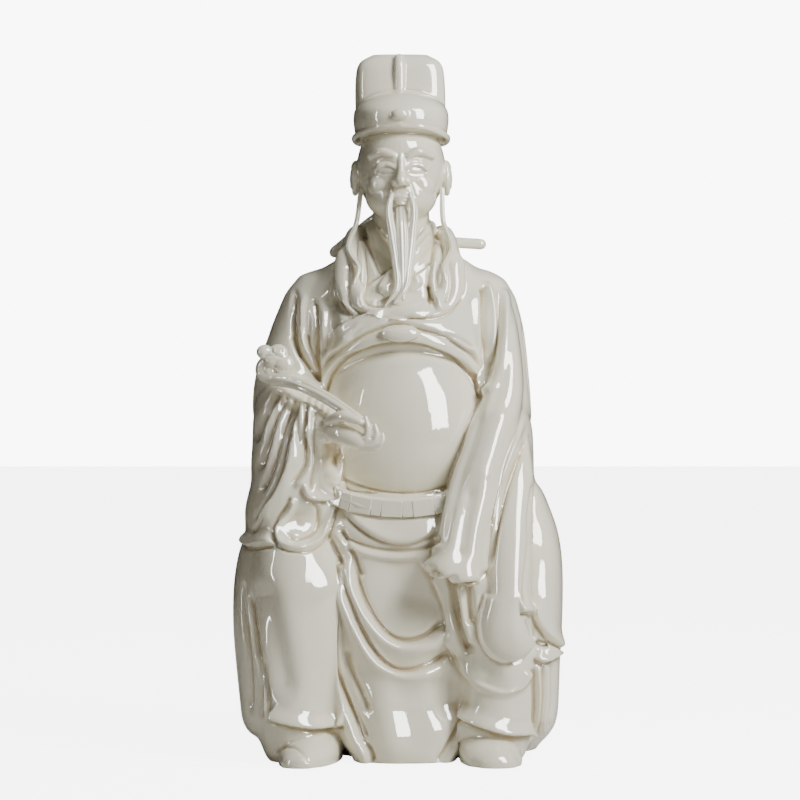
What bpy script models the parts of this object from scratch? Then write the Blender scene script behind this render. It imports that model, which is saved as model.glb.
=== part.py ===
"""A seated scholar deity in ivory-white glazed porcelain, with a cap, a long beard and a sceptre."""

import math
from collections import namedtuple

import bmesh
import bpy
import numpy as np
from mathutils import Matrix

# Overall height in metres, and the crown of the cap in the units that the forms below are drawn in.
# The front of the figure is towards -Y.
HEIGHT = 0.350
DRAWN_HEIGHT = 349.2

# The folds are drawn as someone sees them who stands this far in front, at this eye height.
VIEW_DISTANCE = 1400.0
EYE_HEIGHT = 175.0

# The upright line that the collar and the belt go round: its place across and back.
BODY_AXIS = (0, 5)

# Grain of the clay while the forms are fused, rounds of softening, and the facets of the finished solid.
MASS_GRAIN = 2.4
FINE_GRAIN = 1.5
MASS_SOFTENING = 6
FINE_SOFTENING = 2
CARVED_SOFTENING = 1
FACETS = 9400

# Rings and sides of each kind of form, and how a limb's round ends are stepped, in radians.
STACK_RINGS, STACK_SIDES = 40, 56
LIMB_RINGS, LIMB_SIDES = 20, 20
BAND_RINGS = 60
STRAND_RINGS, STRAND_SIDES = 30, 12
BALL_SIDES, BALL_RINGS = 32, 20
END_ANGLES = (0.6, 1.1, 1.4)

GLAZE_COLOUR = (0.60, 0.59, 0.53, 1.0)
GLAZE_ROUGHNESS = 0.12

# How a fold is pressed in: samples of a stroke, the share of it that fades out at each end, how far an
# edge's lift and a roll's swell reach back (in widths), where a roll crests, how deep an edge is undercut
# and a roll creased (in depths), which facings take a fold, and how far it is felt (in widths).
STROKE_STEPS = 22
ARC_STEPS = 9
FADE_SHARE = 0.14
EDGE_REACH = 2.6
EDGE_UNDERCUT = 0.55
ROLL_CREST = 2.0
ROLL_CREASE = 0.45
FACING_RANGE = (0.02, 0.35)
FOLD_REACH = 7

Fold = namedtuple("Fold", "kind depth width stroke")

# Robes over seat and legs. Columns: height, left, right, front, back, squareness.
SKIRT = (
    (-8, -64, 66, -18, 52, 2.6),
    (0, -67, 69, -22, 55, 2.6),
    (9, -73, 76, -36, 58, 2.7),
    (18, -76, 79, -46, 59, 2.7),
    (40, -80, 80, -48, 61, 2.8),
    (74, -82, 81, -47, 61, 2.8),
    (100, -79, 79, -44, 60, 2.6),
    (116, -75, 75, -32, 58, 2.4),
    (126, -69, 70, -22, 55, 2.3),
    (138, -60, 60, -10, 50, 2.2),
)
CENTRE_PANEL = (
    (-8, -19, 24, -50, 0, 2.6),
    (3, -24, 28, -54, 0, 2.8),
    (14, -31, 31, -53, 0, 3.0),
    (40, -36, 33, -50, 0, 2.8),
    (80, -40, 36, -51, 0, 2.6),
    (106, -44, 42, -53, 0, 2.4),
    (120, -42, 42, -49, 0, 2.3),
    (130, -34, 34, -38, 0, 2.2),
)
TORSO = (
    (96, -72, 70, -42, 59, 2.3),
    (112, -69, 67, -40, 57, 2.3),
    (128, -64, 62, -32, 54, 2.3),
    (150, -58, 56, -26, 50, 2.3),
    (176, -53, 52, -25, 47, 2.3),
    (196, -51, 51, -31, 43, 2.3),
    (206, -50, 50, -36, 41, 2.3),
    (216, -50, 50, -34, 40, 2.3),
    (228, -49, 49, -28, 37, 2.2),
    (240, -40, 40, -23, 33, 2.2),
    (248, -28, 29, -17, 29, 2.1),
    (256, -18, 20, -10, 24, 2.0),
)
# The right sleeve's falls, each in front of the next, over the belly and lap. Columns as the skirt.
RIGHT_SLEEVE_FRONT = (
    (230, 46, 54, -8, 10, 2.2),
    (214, 48, 58, -18, 10, 2.2),
    (199, 47, 60, -27, 5, 2.3),
    (184, 43.5, 61, -34, 0, 2.4),
    (172.6, 38, 60, -40, -5, 2.5),
    (163, 33, 58, -45, -5, 2.5),
    (151, 29, 54, -51, -10, 2.5),
    (139, 24.5, 50, -56, -15, 2.5),
    (122, 20, 45, -63, -20, 2.5),
    (110, 17.2, 42, -66, -25, 2.5),
    (99, 15, 40.5, -68, -30, 2.5),
    (94, 13.4, 40.5, -68, -30, 2.5),
    (90, 13.6, 40, -67, -30, 2.5),
)
FRONT_LOBE = (
    (166, 46, 62, -30, -10, 2.4),
    (150, 44, 64, -42, -20, 2.4),
    (136, 43, 65, -50, -30, 2.4),
    (124, 42, 64.5, -56, -30, 2.4),
    (112, 41, 64, -61, -30, 2.4),
    (97.5, 40, 63.5, -65, -30, 2.4),
    (86, 40, 63, -67.5, -30, 2.4),
    (79, 39.4, 63, -68.5, -30, 2.4),
    (72, 37.5, 63.5, -68.5, -30, 2.4),
    (65, 37, 64, -68, -30, 2.4),
    (58.5, 38.4, 64.5, -66.5, -30, 2.4),
    (53.5, 42, 62, -64, -30, 2.3),
    (50.4, 47, 58, -60, -30, 2.2),
)
OUTER_LOBE = (
    (95, 14.5, 42, -57, -20, 2.4),
    (91, 14.2, 52, -61, -20, 2.4),
    (87, 15, 60, -62, -20, 2.4),
    (77, 20.4, 64, -62.5, -20, 2.4),
    (67, 22, 65, -62.5, -20, 2.4),
    (58, 23.5, 66, -62.5, -20, 2.4),
    (49.6, 26.3, 66, -62, -20, 2.4),
    (41, 31.1, 64, -61, -20, 2.4),
    (35.5, 38, 60, -59, -20, 2.3),
    (32.5, 45, 56, -56, -20, 2.2),
)
# Limbs. Columns: x, y, z, half width, half depth.
LEFT_SHIN = ((-51, -38, 12, 18, 20), (-52, -40, 40, 19, 21), (-53, -41, 80, 20, 21), (-51, -38, 100, 21, 21))
RIGHT_SHIN = ((46, -38, 12, 18, 20), (47, -40, 40, 18, 20), (48, -40, 80, 19, 20), (47, -38, 100, 20, 20))
LEFT_THIGH = ((-34, 22, 112, 24, 22), (-42, -10, 108, 24, 20), (-50, -38, 102, 20, 19))
RIGHT_THIGH = ((32, 22, 112, 24, 22), (40, -10, 108, 24, 20), (46, -38, 102, 20, 19))
LEFT_UPPER_ARM = ((-40, 6, 222, 19, 20), (-47, 5, 205, 19, 21), (-54, 0, 183, 19, 22), (-56, -6, 168, 18, 22))
LEFT_FOREARM = ((-55, -12, 164, 16, 17), (-46, -34, 163, 15, 15), (-36, -44, 160, 11, 12))
LEFT_SLEEVE = (
    (-54, -18, 167, 19, 26),
    (-50.5, -22, 148, 23, 30),
    (-50.5, -25, 132, 23, 29),
    (-55, -26, 116, 22, 26),
    (-59, -27, 104, 18, 22),
)
RIGHT_UPPER_ARM = ((40, 6, 222, 19, 20), (44, 5, 205, 19, 21), (47, 0, 183, 18, 22), (48, -6, 166, 18, 23))
RIGHT_FOREARM = (
    (48, -12, 160, 18, 24), (46, -24, 140, 20, 24), (43, -32, 118, 21, 22), (42, -36, 98, 19, 20),
)
RIGHT_SLEEVE_FALL = (
    (42, -40, 92, 18, 12), (45, -41, 70, 18, 12), (48, -41, 50, 18, 11), (50, -40, 42, 14, 8),
)
RIGHT_OUTER_PANEL = (
    (63, -16, 126, 9, 20), (67, -20, 104, 12, 24), (68, -24, 74, 12, 26), (66, -24, 20, 11, 24),
)
LEFT_OUTER_PANEL = (
    (-66, -16, 112, 9, 20), (-69, -20, 92, 12, 24), (-70, -24, 64, 12, 26), (-67, -24, 20, 11, 24),
)
SHOES = (
    ((-40, -30, 5, 13, 14), (-43, -46, 4, 13.5, 12.5), (-47, -60, 2.5, 12, 8.5), (-49, -67, 2, 8.5, 5.5)),
    ((41, -30, 5, 13, 14), (43, -46, 4, 14.5, 12.5), (45.5, -60, 2.5, 13.5, 9), (46.5, -66, 2, 10, 6)),
)
# Rounded forms. Columns: centre x, y, z, then the three half sizes.
BELLY = (2, -8, 159, 44, 39, 51)

# Head, in the same columns as the belly, and as the limbs for what follows a path.
SKULL = (0.5, 3, 291, 22.3, 24, 26)
JAW = (0.5, -5, 277, 18, 16, 13.5)
NECK = ((0.5, 7, 240, 15, 15), (0.5, 5, 258, 14.5, 14.5), (0.5, 4, 276, 14, 14))
EARS = ((-22.5, 2, 286, 2.8, 6, 9), (23.5, 2, 286, 2.8, 6, 9))
NOSE = ((0.5, -18.5, 294, 1.8, 1.8), (0.5, -22.5, 286, 2.2, 2.2), (0.5, -24.5, 282.5, 2.9, 2.6))
NOSTRILS = ((-2.4, -21.8, 281.5, 2, 2.2, 1.8), (3.4, -21.8, 281.5, 2, 2.2, 1.8))
EYES = ((-8, -16.6, 290.5, 4.6, 2.6, 2.4), (9, -16.6, 290.5, 4.6, 2.6, 2.4))
LIPS = (0.5, -20.6, 274.5, 4.4, 2.2, 1.8)
CHIN = (0.5, -17.5, 266.5, 5, 4, 4)
CAP_DOME = (
    (302, -21.5, 22.5, -19, 27, 2.2),
    (307, -23.0, 24.0, -22.6, 28, 2.2),
    (315, -23.4, 24.4, -23.4, 28, 2.2),
    (321, -22.2, 23.2, -21, 27, 2.2),
    (326, -17.5, 18.5, -15, 26, 2.1),
    (329.5, -10, 11, -7, 22, 2.0),
)
CAP_CROWN = (
    (304, -21, 22, 4, 27, 3.0),
    (320, -22.5, 23, 3, 27, 3.4),
    (337, -22.5, 22.5, 4, 26, 3.6),
    (345, -20.5, 20.5, 6, 24, 3.4),
    (349.2, -14, 14, 10, 20, 3.0),
)
CAP_RIB = ((-0.3, 4, 328, 2.6, 1.8), (-0.3, 3.4, 340, 2.6, 1.8), (-0.3, 6, 347.4, 2.4, 1.6))
CAP_JEWEL = (0, -24, 315.5, 4.2, 2.5, 2.6)
LEFT_WING = ((-4, 12, 272, 3, 3), (-16, 18, 264, 3, 3), (-33, 20, 250, 3, 3))
RIGHT_WING = ((6, 12, 259, 2.8, 2.8), (22, 19, 255.5, 2.8, 2.8), (41, 20, 254, 2.8, 2.8))

# Rolled collar of the outer robe, round the neck and down to the breast. Columns as the limbs.
COLLAR = (
    (0, 27, 254, 5, 4),
    (-15, 20, 256, 6, 4),
    (-23, 5, 256, 6.5, 4),
    (-26, -9, 247, 6.5, 4),
    (-26, -18, 236, 6.5, 4),
    (-24, -24, 227, 6, 4),
    (-16, -29, 219, 5, 3.5),
    (0, -32, 217, 4.5, 3.5),
    (16, -29, 219, 5, 3.5),
    (24, -24, 226, 6, 4),
    (26, -18, 236, 6.5, 4),
    (26, -9, 247, 6.5, 4),
    (23, 5, 256, 6.5, 4),
    (15, 20, 256, 6, 4),
    (0, 27, 254, 5, 4),
)
INNER_COLLARS = (
    ((-15, 5, 261, 4.5, 2.5), (-11, -9, 253, 4.5, 2.5), (-3, -19, 243, 4.5, 2.5), (7, -27, 231, 4, 2)),
    ((16, 5, 261, 4.5, 2.5), (12, -10, 253, 4.5, 2.5), (4, -21, 242, 4.5, 2.5), (-7, -29, 229, 4, 2)),
)
BELT = (
    (-36, -38, 131, 4.5, 3),
    (-24, -45, 126, 4.7, 3),
    (-12, -47, 123.5, 4.7, 3),
    (2, -47.5, 122.5, 4.7, 3),
    (16, -46, 124, 4.7, 3),
    (30, -41, 128, 4.5, 3),
)
BELT_KNOT = (0, -37.5, 208.5, 9.5, 2.6, 3.2)

# Beard and side strands. Columns as the limbs.
BEARD = (
    ((-5, -23, 275, 1.6, 1.6), (-4, -25, 262, 2.0, 1.8), (-2, -26.5, 246, 2.0, 1.8), (-1, -33, 232, 1.8, 1.6),
     (-8, -36, 219.5, 0.9, 0.9)),
    ((0.5, -21, 269, 2.8, 2.2), (1, -25.5, 256, 2.9, 2.4), (1.5, -29, 240, 2.2, 2),
         (1.5, -36, 224, 0.9, 0.9)),
    ((6, -23, 275, 1.6, 1.6), (6.5, -25, 262, 2.0, 1.8), (5, -26.5, 246, 2.0, 1.8), (3.5, -33, 232, 1.8, 1.6),
     (-2, -36, 223, 0.9, 0.9)),
)
SIDE_STRANDS = (
    ((-19.5, -4, 278, 1.4, 1.4), (-21.5, -6, 264, 1.5, 1.5), (-25.5, -15, 250, 1.5, 1.5),
     (-20.5, -23, 240, 1.5, 1.4), (-22.5, -27, 232, 0.9, 0.9)),
    ((21, -4, 278, 1.4, 1.4), (21.5, -6, 264, 1.5, 1.5), (25.5, -15, 250, 1.5, 1.5),
     (21.5, -23, 240, 1.5, 1.4), (22.5, -27, 233, 0.9, 0.9)),
)

# Sceptre: a handle from the fist to the shoulder, and a cloud head of three lobes.
SCEPTRE_HANDLE = (
    (-14.5, -63, 161.8, 2.4, 2.4),
    (-26.1, -59, 170, 3.0, 2.9),
    (-45.2, -49, 181.1, 3.2, 3.1),
    (-62, -38.5, 185.2, 3.4, 3.1),
)
SCEPTRE_STEM = ((-62, -38, 185.4, 3.2, 3), (-65.4, -36, 188, 3.0, 2.8), (-62, -37, 194, 3.2, 2.6))
SCEPTRE_LOBES = (
    (-65.9, -38, 198.4, 4.2, 3.2, 4.0),
    (-59.3, -38.5, 198, 5.0, 3.2, 4.6),
    (-56.6, -40, 193.2, 5.2, 3.2, 4.3),
    (-61.5, -39, 194.8, 4.9, 3.2, 4.3),
)
# Hand round the handle, and its fingers: where the first starts, the step to the next, and the size of each.
WRIST = ((-42, -44, 160.5, 8, 8), (-36, -49, 160, 6.6, 6.4), (-30, -54, 160, 5.8, 5.4))
PALM = ((-32, -54, 160, 5.6, 5.6), (-26, -58, 158, 5.6, 5.0), (-20, -61, 155.6, 4.4, 4.2))
THUMB = ((-34, -56, 165, 3.0, 2.8), (-28, -61, 167, 3.0, 2.8), (-18.8, -65, 164.6, 1.9, 1.9))
FINGERS = 4
FINGER_BASE = (-17, -62.5, 152)
FINGER_STEP = (0.7, -0.2, 1.5)
FINGER_REACH = 8.0
FINGER_LIFT = 1.6
FINGER_RADIUS = 1.9


def arc(centre, half_sizes, start, end):
    """Points of a stroke along an ellipse, with its angles in degrees."""
    turn = np.radians(np.linspace(start, end, ARC_STEPS))
    return np.stack([centre[0] + half_sizes[0] * np.cos(turn), centre[1] + half_sizes[1] * np.sin(turn)], 1)


def swag(start, low, end):
    """A hanging fold from its start, through its lowest point, to its end."""
    turn = np.radians(np.linspace(0, 90, ARC_STEPS))
    falls = [
        np.stack([
            low[0] - (low[0] - side[0]) * np.cos(turn),
            low[1] + (side[1] - low[1]) * (1 - np.sin(turn)),
        ], 1)
        for side in (start, end)
    ]
    return np.vstack([falls[0], falls[1][-2::-1]])


# Folds as seen from the front: across and up, in units. A groove sinks, a ridge stands, an edge lifts the
# cloth on the left of its stroke, and a roll swells there behind a crease.
BROAD_FOLDS = (
    Fold("groove", 5.0, 12, ((0, 90), (6, 78))),
    Fold("groove", 3.4, 8, ((21, 44), (25, 24))),
    Fold("ridge", 4.0, 9, ((-9, 26), (-5, 6))),
    Fold("groove", 3.0, 7, ((-68, 76), (-58, 34))),
    Fold("groove", 2.6, 5, ((35, 128), (31, 100))),
    Fold("groove", 3.2, 5, ((-35, 224), (-37, 200))),
    Fold("groove", 2.8, 5, ((36, 224), (38, 202))),
    Fold("groove", 3.6, 8, ((-50, 114), (-44, 110))),
)
BREAST_FOLDS = (
    Fold("edge", 2.4, 1.6, arc((1.5, 176), (40, 28.5), 172, 8)),
    Fold("edge", 1.6, 1.3, arc((1, 180), (42, 32.5), 168, 12)),
    Fold("groove", 1.2, 1.5, ((-35, 208.5), (-27.5, 214), (-20, 217), (-12.5, 219))),
    Fold("groove", 1.0, 1.4, ((-14, 259), (-9, 252), (-3.5, 246))),
    Fold("groove", 1.0, 1.4, ((14, 257), (7, 251))),
    Fold("groove", 1.0, 1.4, ((-17.5, 243.5), (-10.5, 236))),
    Fold("groove", 1.0, 1.4, ((-16, 233), (-10.5, 236), (-3, 240))),
)
SHOULDER_FOLDS = (
    Fold("groove", 2.2, 2.2, ((-52, 232), (-53.5, 215), (-52.5, 207), (-50, 199), (-45, 192), (-39, 183))),
    Fold("groove", 2.2, 2.0, ((-43, 225), (-42, 215), (-41.5, 202), (-40, 186))),
    Fold("groove", 1.4, 1.8, ((-46.5, 208.5), (-45.5, 202.5), (-43, 196), (-40.5, 190))),
    Fold("ridge", 1.2, 2.4, ((-48, 226), (-48.5, 212), (-47.5, 202), (-43, 191))),
    Fold("groove", 3.0, 1.8, ((41.5, 230), (42, 220), (42, 205), (41, 189.5))),
    Fold("ridge", 1.6, 2.2, ((43.5, 233), (46, 224), (46.5, 208), (44.5, 192))),
)
LEFT_SLEEVE_FOLDS = (
    Fold("groove", 2.2, 2.0, ((-60.4, 179), (-66, 171), (-70.4, 162), (-72.9, 153))),
    Fold("groove", 2.2, 2.0, ((-56, 178), (-62.6, 166), (-67, 152), (-71, 138.4))),
    Fold("groove", 2.4, 2.0, ((-52.6, 177), (-57, 165), (-61, 150.9), (-65.6, 138.4), (-71, 127))),
    Fold("edge", 2.6, 1.6, ((-49, 175), (-53.7, 158), (-56.3, 145), (-60, 133.3), (-67, 121.8),
         (-73, 112.9))),
    Fold("edge", 2.4, 1.6, ((-45.4, 172), (-45.8, 160), (-46, 150), (-46.6, 142), (-50, 136.4), (-54, 131))),
    Fold("groove", 1.6, 1.6, ((-42.6, 169), (-43, 156), (-43.4, 143.6), (-44.6, 134))),
    Fold("groove", 7.0, 3.6, ((-35, 152), (-35, 143), (-36, 135))),
    Fold("ridge", 1.8, 1.6, ((-29, 155), (-30, 140), (-35, 129), (-40, 133), (-40.4, 148))),
    Fold("ridge", 2.6, 2.0, ((-53, 127), (-60, 116), (-61, 105), (-52, 100.4), (-41, 103), (-35, 113),
         (-33, 124))),
    Fold("edge", 3.4, 1.8, ((-78, 106), (-72, 101.8), (-62.5, 101.5), (-55, 99.4), (-47.5, 100), (-39, 106))),
)
RIGHT_SLEEVE_FOLDS = (
    Fold("ridge", 2.4, 2.4, ((62, 166), (57, 155), (49, 132.5), (45.5, 120), (42.5, 105), (41, 90))),
    Fold("groove", 2.4, 2.2, ((62, 154), (58, 144), (53.5, 132), (50, 119), (46.6, 104), (45.4, 90))),
    Fold("groove", 2.4, 2.2, ((67.5, 135), (65, 115), (63.5, 90), (60.5, 69))),
    Fold("edge", 2.4, 1.4, ((14, 88.5), (17, 90.5), (25, 86), (30, 83.5), (35, 84), (42, 82))),
    Fold("ridge", 2.2, 2.2, ((18, 86), (21, 79), (24.5, 70), (26, 60), (28, 50), (32, 41), (38, 34.5),
         (52, 29))),
    Fold("groove", 4.0, 2.2, ((25, 87), (28, 76), (30.5, 63), (36, 49))),
    Fold("groove", 2.0, 2.0, ((60, 68), (66.5, 66.5), (71.5, 58.5), (80.5, 51))),
    Fold("edge", 2.4, 1.6, ((67.5, 46), (71, 44), (75, 44.8), (80.5, 49))),
)
LAP_FOLDS = (
    Fold("edge", 2.0, 1.8, ((-29, 121), (-22, 113.5), (-14, 107.5), (-5, 104), (4, 103.4), (12, 106),
         (20, 111))),
    Fold("ridge", 1.4, 2.0, swag((-32, 110), (0, 96.4), (20, 104))),
    Fold("groove", 1.8, 1.8, ((-36.5, 110), (-33.5, 103), (-28, 91))),
    Fold("roll", 5.0, 2.0, ((18, 60.6), (13, 56.8), (6, 54.6), (-1, 55.2), (-7.5, 59.7), (-14.4, 68.6),
                            (-18.6, 77), (-25.4, 100))),
    Fold("roll", 4.2, 2.0, ((19, 46.4), (13, 42.5), (6, 40), (-2, 40.5), (-9, 45.2), (-15, 53.5), (-20.4, 65),
                            (-29, 92))),
    Fold("groove", 1.8, 2.2, ((-31, 40), (-26, 27), (-20, 14), (-16, 4))),
    Fold("edge", 3.2, 1.8, ((-20, 6), (-27, 24), (-33.2, 46), (-34.4, 70), (-31, 99))),
    Fold("edge", 2.6, 1.6, ((32, 18), (28, 8), (22, -2))),
)
HEM_FOLDS = (
    Fold("edge", 3.2, 1.5, ((-66, 16), (-57.5, 13.5), (-50, 11.5), (-41, 11), (-32.5, 12.5), (-26, 13))),
    Fold("edge", 3.2, 1.5, ((29.5, 16), (37.5, 13), (50, 8.5), (57.5, 7.5), (66.5, 8))),
    Fold("groove", 1.8, 2.4, ((-75, 75), (-72.5, 55), (-69.5, 35), (-69, 10))),
    Fold("groove", 1.8, 2.0, ((-69, 45), (-66, 25), (-65, 12))),
    Fold("groove", 2.0, 2.2, ((67, 40), (67, 10))),
    Fold("groove", 2.0, 2.2, ((73, 44), (74, 25), (71, 5))),
)
FINE_FOLDS = BREAST_FOLDS + SHOULDER_FOLDS + LEFT_SLEEVE_FOLDS + RIGHT_SLEEVE_FOLDS + LAP_FOLDS + HEM_FOLDS

# Folds of the back: one down the middle and fans on either side that spread from the shoulders to the
# hem, with two swags under the collar. Heights of the ends, and how far apart the fans are at each.
BACK_FANS = 3
BACK_FOLD_DEPTH = 1.8
BACK_FOLD_WIDTH = 4.0
BACK_MIDDLE = ((0, 205), (1, 120), (0, 10))
FAN_SPREADS = (11, 14, 20)
FAN_HEIGHTS = (222, 130, 8)
FAN_DROP = 6
BACK_SWAG_TOPS = (236, 226)
BACK_SWAG_REACH = 30
BACK_SWAG_SAG = 22
BACK_SWAG_DEPTH = 1.4

# Folds of the two sides, as seen from the side: from the hip, by the knee, to the hem, and on the sleeve.
SIDE_FOLD_DEPTH = 1.6
SIDE_FOLD_WIDTH = 3.6
SIDE_STROKES = (
    ((-5, 118), (-8, 70), (-10, 8)),
    ((7, 118), (12, 70), (12, 8)),
    ((19, 118), (32, 70), (34, 8)),
    ((29, 118), (48, 70), (50, 8)),
    ((2, 215), (-4, 190), (-10, 165)),
    ((16, 210), (14, 180), (6, 150), (-10, 130)),
)


def through(rows, count):
    """A smooth curve through the given rows, sampled evenly."""
    rows = np.asarray(rows, float)
    padded = np.vstack([2 * rows[0] - rows[1], rows, 2 * rows[-1] - rows[-2]])
    at = np.linspace(0, len(rows) - 1, count)
    start = np.minimum(at.astype(int), len(rows) - 2)
    t = (at - start)[:, None]
    a, b, c, d = (padded[start + step] for step in range(4))
    return 0.5 * (2 * b + (c - a) * t + (2 * a - 5 * b + 4 * c - d) * t**2 + (3 * b - 3 * c + d - a) * t**3)


def skin(clay, rings):
    """Faces between neighbouring rings, with the first and last ring closed."""
    loops = [[clay.verts.new(point) for point in ring] for ring in rings]
    sides = len(loops[0])
    for lower, upper in zip(loops, loops[1:]):
        for side in range(sides):
            after = (side + 1) % sides
            clay.faces.new((lower[side], lower[after], upper[after], upper[side]))
    clay.faces.new(loops[0])
    clay.faces.new(loops[-1])


def stack(clay, sections):
    """A body of level sections, each a rounded oblong between its left, right, front and back."""
    turn = np.linspace(0, 2 * math.pi, STACK_SIDES, endpoint=False)
    rings = []
    for height, left, right, front, back, squareness in through(sections, STACK_RINGS):
        across = np.sign(np.cos(turn)) * np.abs(np.cos(turn)) ** (2 / squareness)
        deep = np.sign(np.sin(turn)) * np.abs(np.sin(turn)) ** (2 / squareness)
        x = (left + right) / 2 + (right - left) / 2 * across
        y = (front + back) / 2 + (back - front) / 2 * deep
        rings.append(np.stack([x, y, np.full(STACK_SIDES, height)], axis=1))
    skin(clay, rings)


def unit(vectors):
    """The vectors at a length of one."""
    return vectors / np.linalg.norm(vectors, axis=-1, keepdims=True)


def outwards(spine):
    """The level way out from the body's axis at each point of a spine."""
    level = np.zeros_like(spine)
    level[:, :2] = spine[:, :2] - BODY_AXIS
    return unit(level)


def limb(clay, rows, facing=(0, 1, 0), slices=LIMB_RINGS, sides=LIMB_SIDES):
    """A limb with round ends along a path whose rows give its centre, half width and half depth."""
    path = through(rows, slices)
    spine, sizes = path[:, :3], path[:, 3:]
    along = unit(np.gradient(spine, axis=0))
    across = unit(np.cross(along, outwards(spine) if facing == "outwards" else facing))
    deep = np.cross(across, along)
    turn = np.linspace(0, 2 * math.pi, sides, endpoint=False)[:, None]
    stations = [(0, -bow) for bow in reversed(END_ANGLES)]
    stations += [(station, 0) for station in range(slices)]
    stations += [(slices - 1, bow) for bow in END_ANGLES]
    rings = []
    for station, bow in stations:
        half_width, half_depth = sizes[station] * math.cos(bow)
        centre = spine[station] + along[station] * sizes[station].min() * math.sin(bow)
        ring = np.cos(turn) * across[station] * half_width + np.sin(turn) * deep[station] * half_depth
        rings.append(centre + ring)
    skin(clay, rings)


def ball(clay, form):
    """An ellipsoid from its centre and half sizes."""
    place = Matrix.Translation(form[:3]) @ Matrix.Diagonal((*form[3:], 1))
    bmesh.ops.create_uvsphere(clay, u_segments=BALL_SIDES, v_segments=BALL_RINGS, radius=1, matrix=place)


def smoothstep(low, high, value):
    """A share that rises smoothly from 0 at the low value to 1 at the high one."""
    share = np.clip((value - low) / (high - low), 0, 1)
    return share * share * (3 - 2 * share)


def nearest_on(stroke, places):
    """For each place: its signed distance from the stroke (left is positive) and how far along it lies."""
    line = through(stroke, STROKE_STEPS)
    starts, runs = line[:-1], np.diff(line, axis=0)
    offsets = places[:, None] - starts
    share = np.clip((offsets * runs).sum(-1) / (runs**2).sum(-1), 0, 1)
    gaps = offsets - share[..., None] * runs
    lengths = np.linalg.norm(gaps, axis=-1)
    nearest = lengths.argmin(axis=1)
    rows = np.arange(len(places))
    gap, run = gaps[rows, nearest], runs[nearest]
    side = np.where(run[:, 0] * gap[:, 1] - run[:, 1] * gap[:, 0] >= 0, 1.0, -1.0)
    return lengths[rows, nearest] * side, (nearest + share[rows, nearest]) / len(runs)


def fold_lift(fold, places, faded):
    """How far a fold lifts the cloth at each place."""
    signed, along = nearest_on(fold.stroke, places)
    strength = np.full(len(places), float(fold.depth))
    if faded:
        strength *= smoothstep(0, FADE_SHARE, along) * smoothstep(0, FADE_SHARE, 1 - along)
    past = np.maximum(signed, 0) / fold.width
    if fold.kind == "edge":
        raised = smoothstep(-fold.width, fold.width, signed) * np.exp(-past / EDGE_REACH)
        undercut = np.exp(-(((signed + fold.width) / fold.width) ** 2))
        return strength * (raised - EDGE_UNDERCUT * undercut)
    bump = np.exp(-((signed / fold.width) ** 2))
    if fold.kind == "roll":
        swell = past / ROLL_CREST * np.exp(1 - past / ROLL_CREST)
        return strength * (swell - ROLL_CREASE * bump)
    return strength * (bump if fold.kind == "ridge" else -bump)


def read_vectors(collection, name):
    """A per-element vector of a mesh as an array of rows."""
    values = np.empty(3 * len(collection), np.float32)
    collection.foreach_get(name, values)
    return values.reshape(-1, 3).astype(float)


def carve(mesh, folds, across=0, towards=1, sign=-1, faded=True):
    """Press the folds into the side of the mesh that faces the named way."""
    points = read_vectors(mesh.vertices, "co")
    normals = read_vectors(mesh.vertex_normals, "vector")
    nearer = VIEW_DISTANCE / (VIEW_DISTANCE - sign * points[:, towards])
    places = np.stack([points[:, across] * nearer, EYE_HEIGHT + (points[:, 2] - EYE_HEIGHT) * nearer], 1)
    facing = smoothstep(*FACING_RANGE, sign * normals[:, towards])
    lift = np.zeros(len(points))
    for fold in folds:
        reach = FOLD_REACH * fold.width
        low = np.min(fold.stroke, axis=0) - reach
        high = np.max(fold.stroke, axis=0) + reach
        touched = np.flatnonzero(((places > low) & (places < high)).all(1) & (facing > 0))
        if len(touched):
            lift[touched] += fold_lift(fold, places[touched], faded)
    points += normals * (lift * facing)[:, None]
    mesh.vertices.foreach_set("co", points.ravel())
    mesh.update()


def back_folds():
    """Long folds that fan from between the shoulders to the hem behind, the same on both halves."""
    folds = [Fold("groove", BACK_FOLD_DEPTH, BACK_FOLD_WIDTH, BACK_MIDDLE)]
    for fan in range(1, BACK_FANS + 1):
        for side in (-1, 1):
            drops = (FAN_DROP * fan, 0, 0)
            stroke = [
                (side * spread * fan, height - drop)
                for spread, height, drop in zip(FAN_SPREADS, FAN_HEIGHTS, drops)
            ]
            folds.append(Fold("groove", BACK_FOLD_DEPTH, BACK_FOLD_WIDTH, stroke))
    for top in BACK_SWAG_TOPS:
        stroke = swag((-BACK_SWAG_REACH, top), (0, top - BACK_SWAG_SAG), (BACK_SWAG_REACH, top))
        folds.append(Fold("groove", BACK_SWAG_DEPTH, BACK_FOLD_WIDTH, stroke))
    return folds


def side_folds():
    """Folds that drop from the hip to the hem, and down the sleeve, on either side."""
    return [Fold("groove", SIDE_FOLD_DEPTH, SIDE_FOLD_WIDTH, stroke) for stroke in SIDE_STROKES]


def robed_body(clay):
    """The masses of the robes over torso, seat, legs and arms."""
    for sections in (SKIRT, CENTRE_PANEL, TORSO):
        stack(clay, sections)
    for rows in (LEFT_SHIN, RIGHT_SHIN, LEFT_UPPER_ARM, RIGHT_UPPER_ARM, LEFT_SLEEVE):
        limb(clay, rows)
    for rows in (LEFT_OUTER_PANEL, RIGHT_OUTER_PANEL, RIGHT_FOREARM, RIGHT_SLEEVE_FALL):
        limb(clay, rows)
    for rows in (LEFT_THIGH, RIGHT_THIGH, LEFT_FOREARM):
        limb(clay, rows, facing=(0, 0, 1))


def belly_and_falls(clay):
    """The bare belly with its belt, and the sleeves that fall in front of it."""
    for form in (BELLY, BELT_KNOT):
        ball(clay, form)
    for sections in (RIGHT_SLEEVE_FRONT, FRONT_LOBE, OUTER_LOBE):
        stack(clay, sections)
    limb(clay, LEFT_SLEEVE)
    limb(clay, BELT, facing="outwards")


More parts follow.
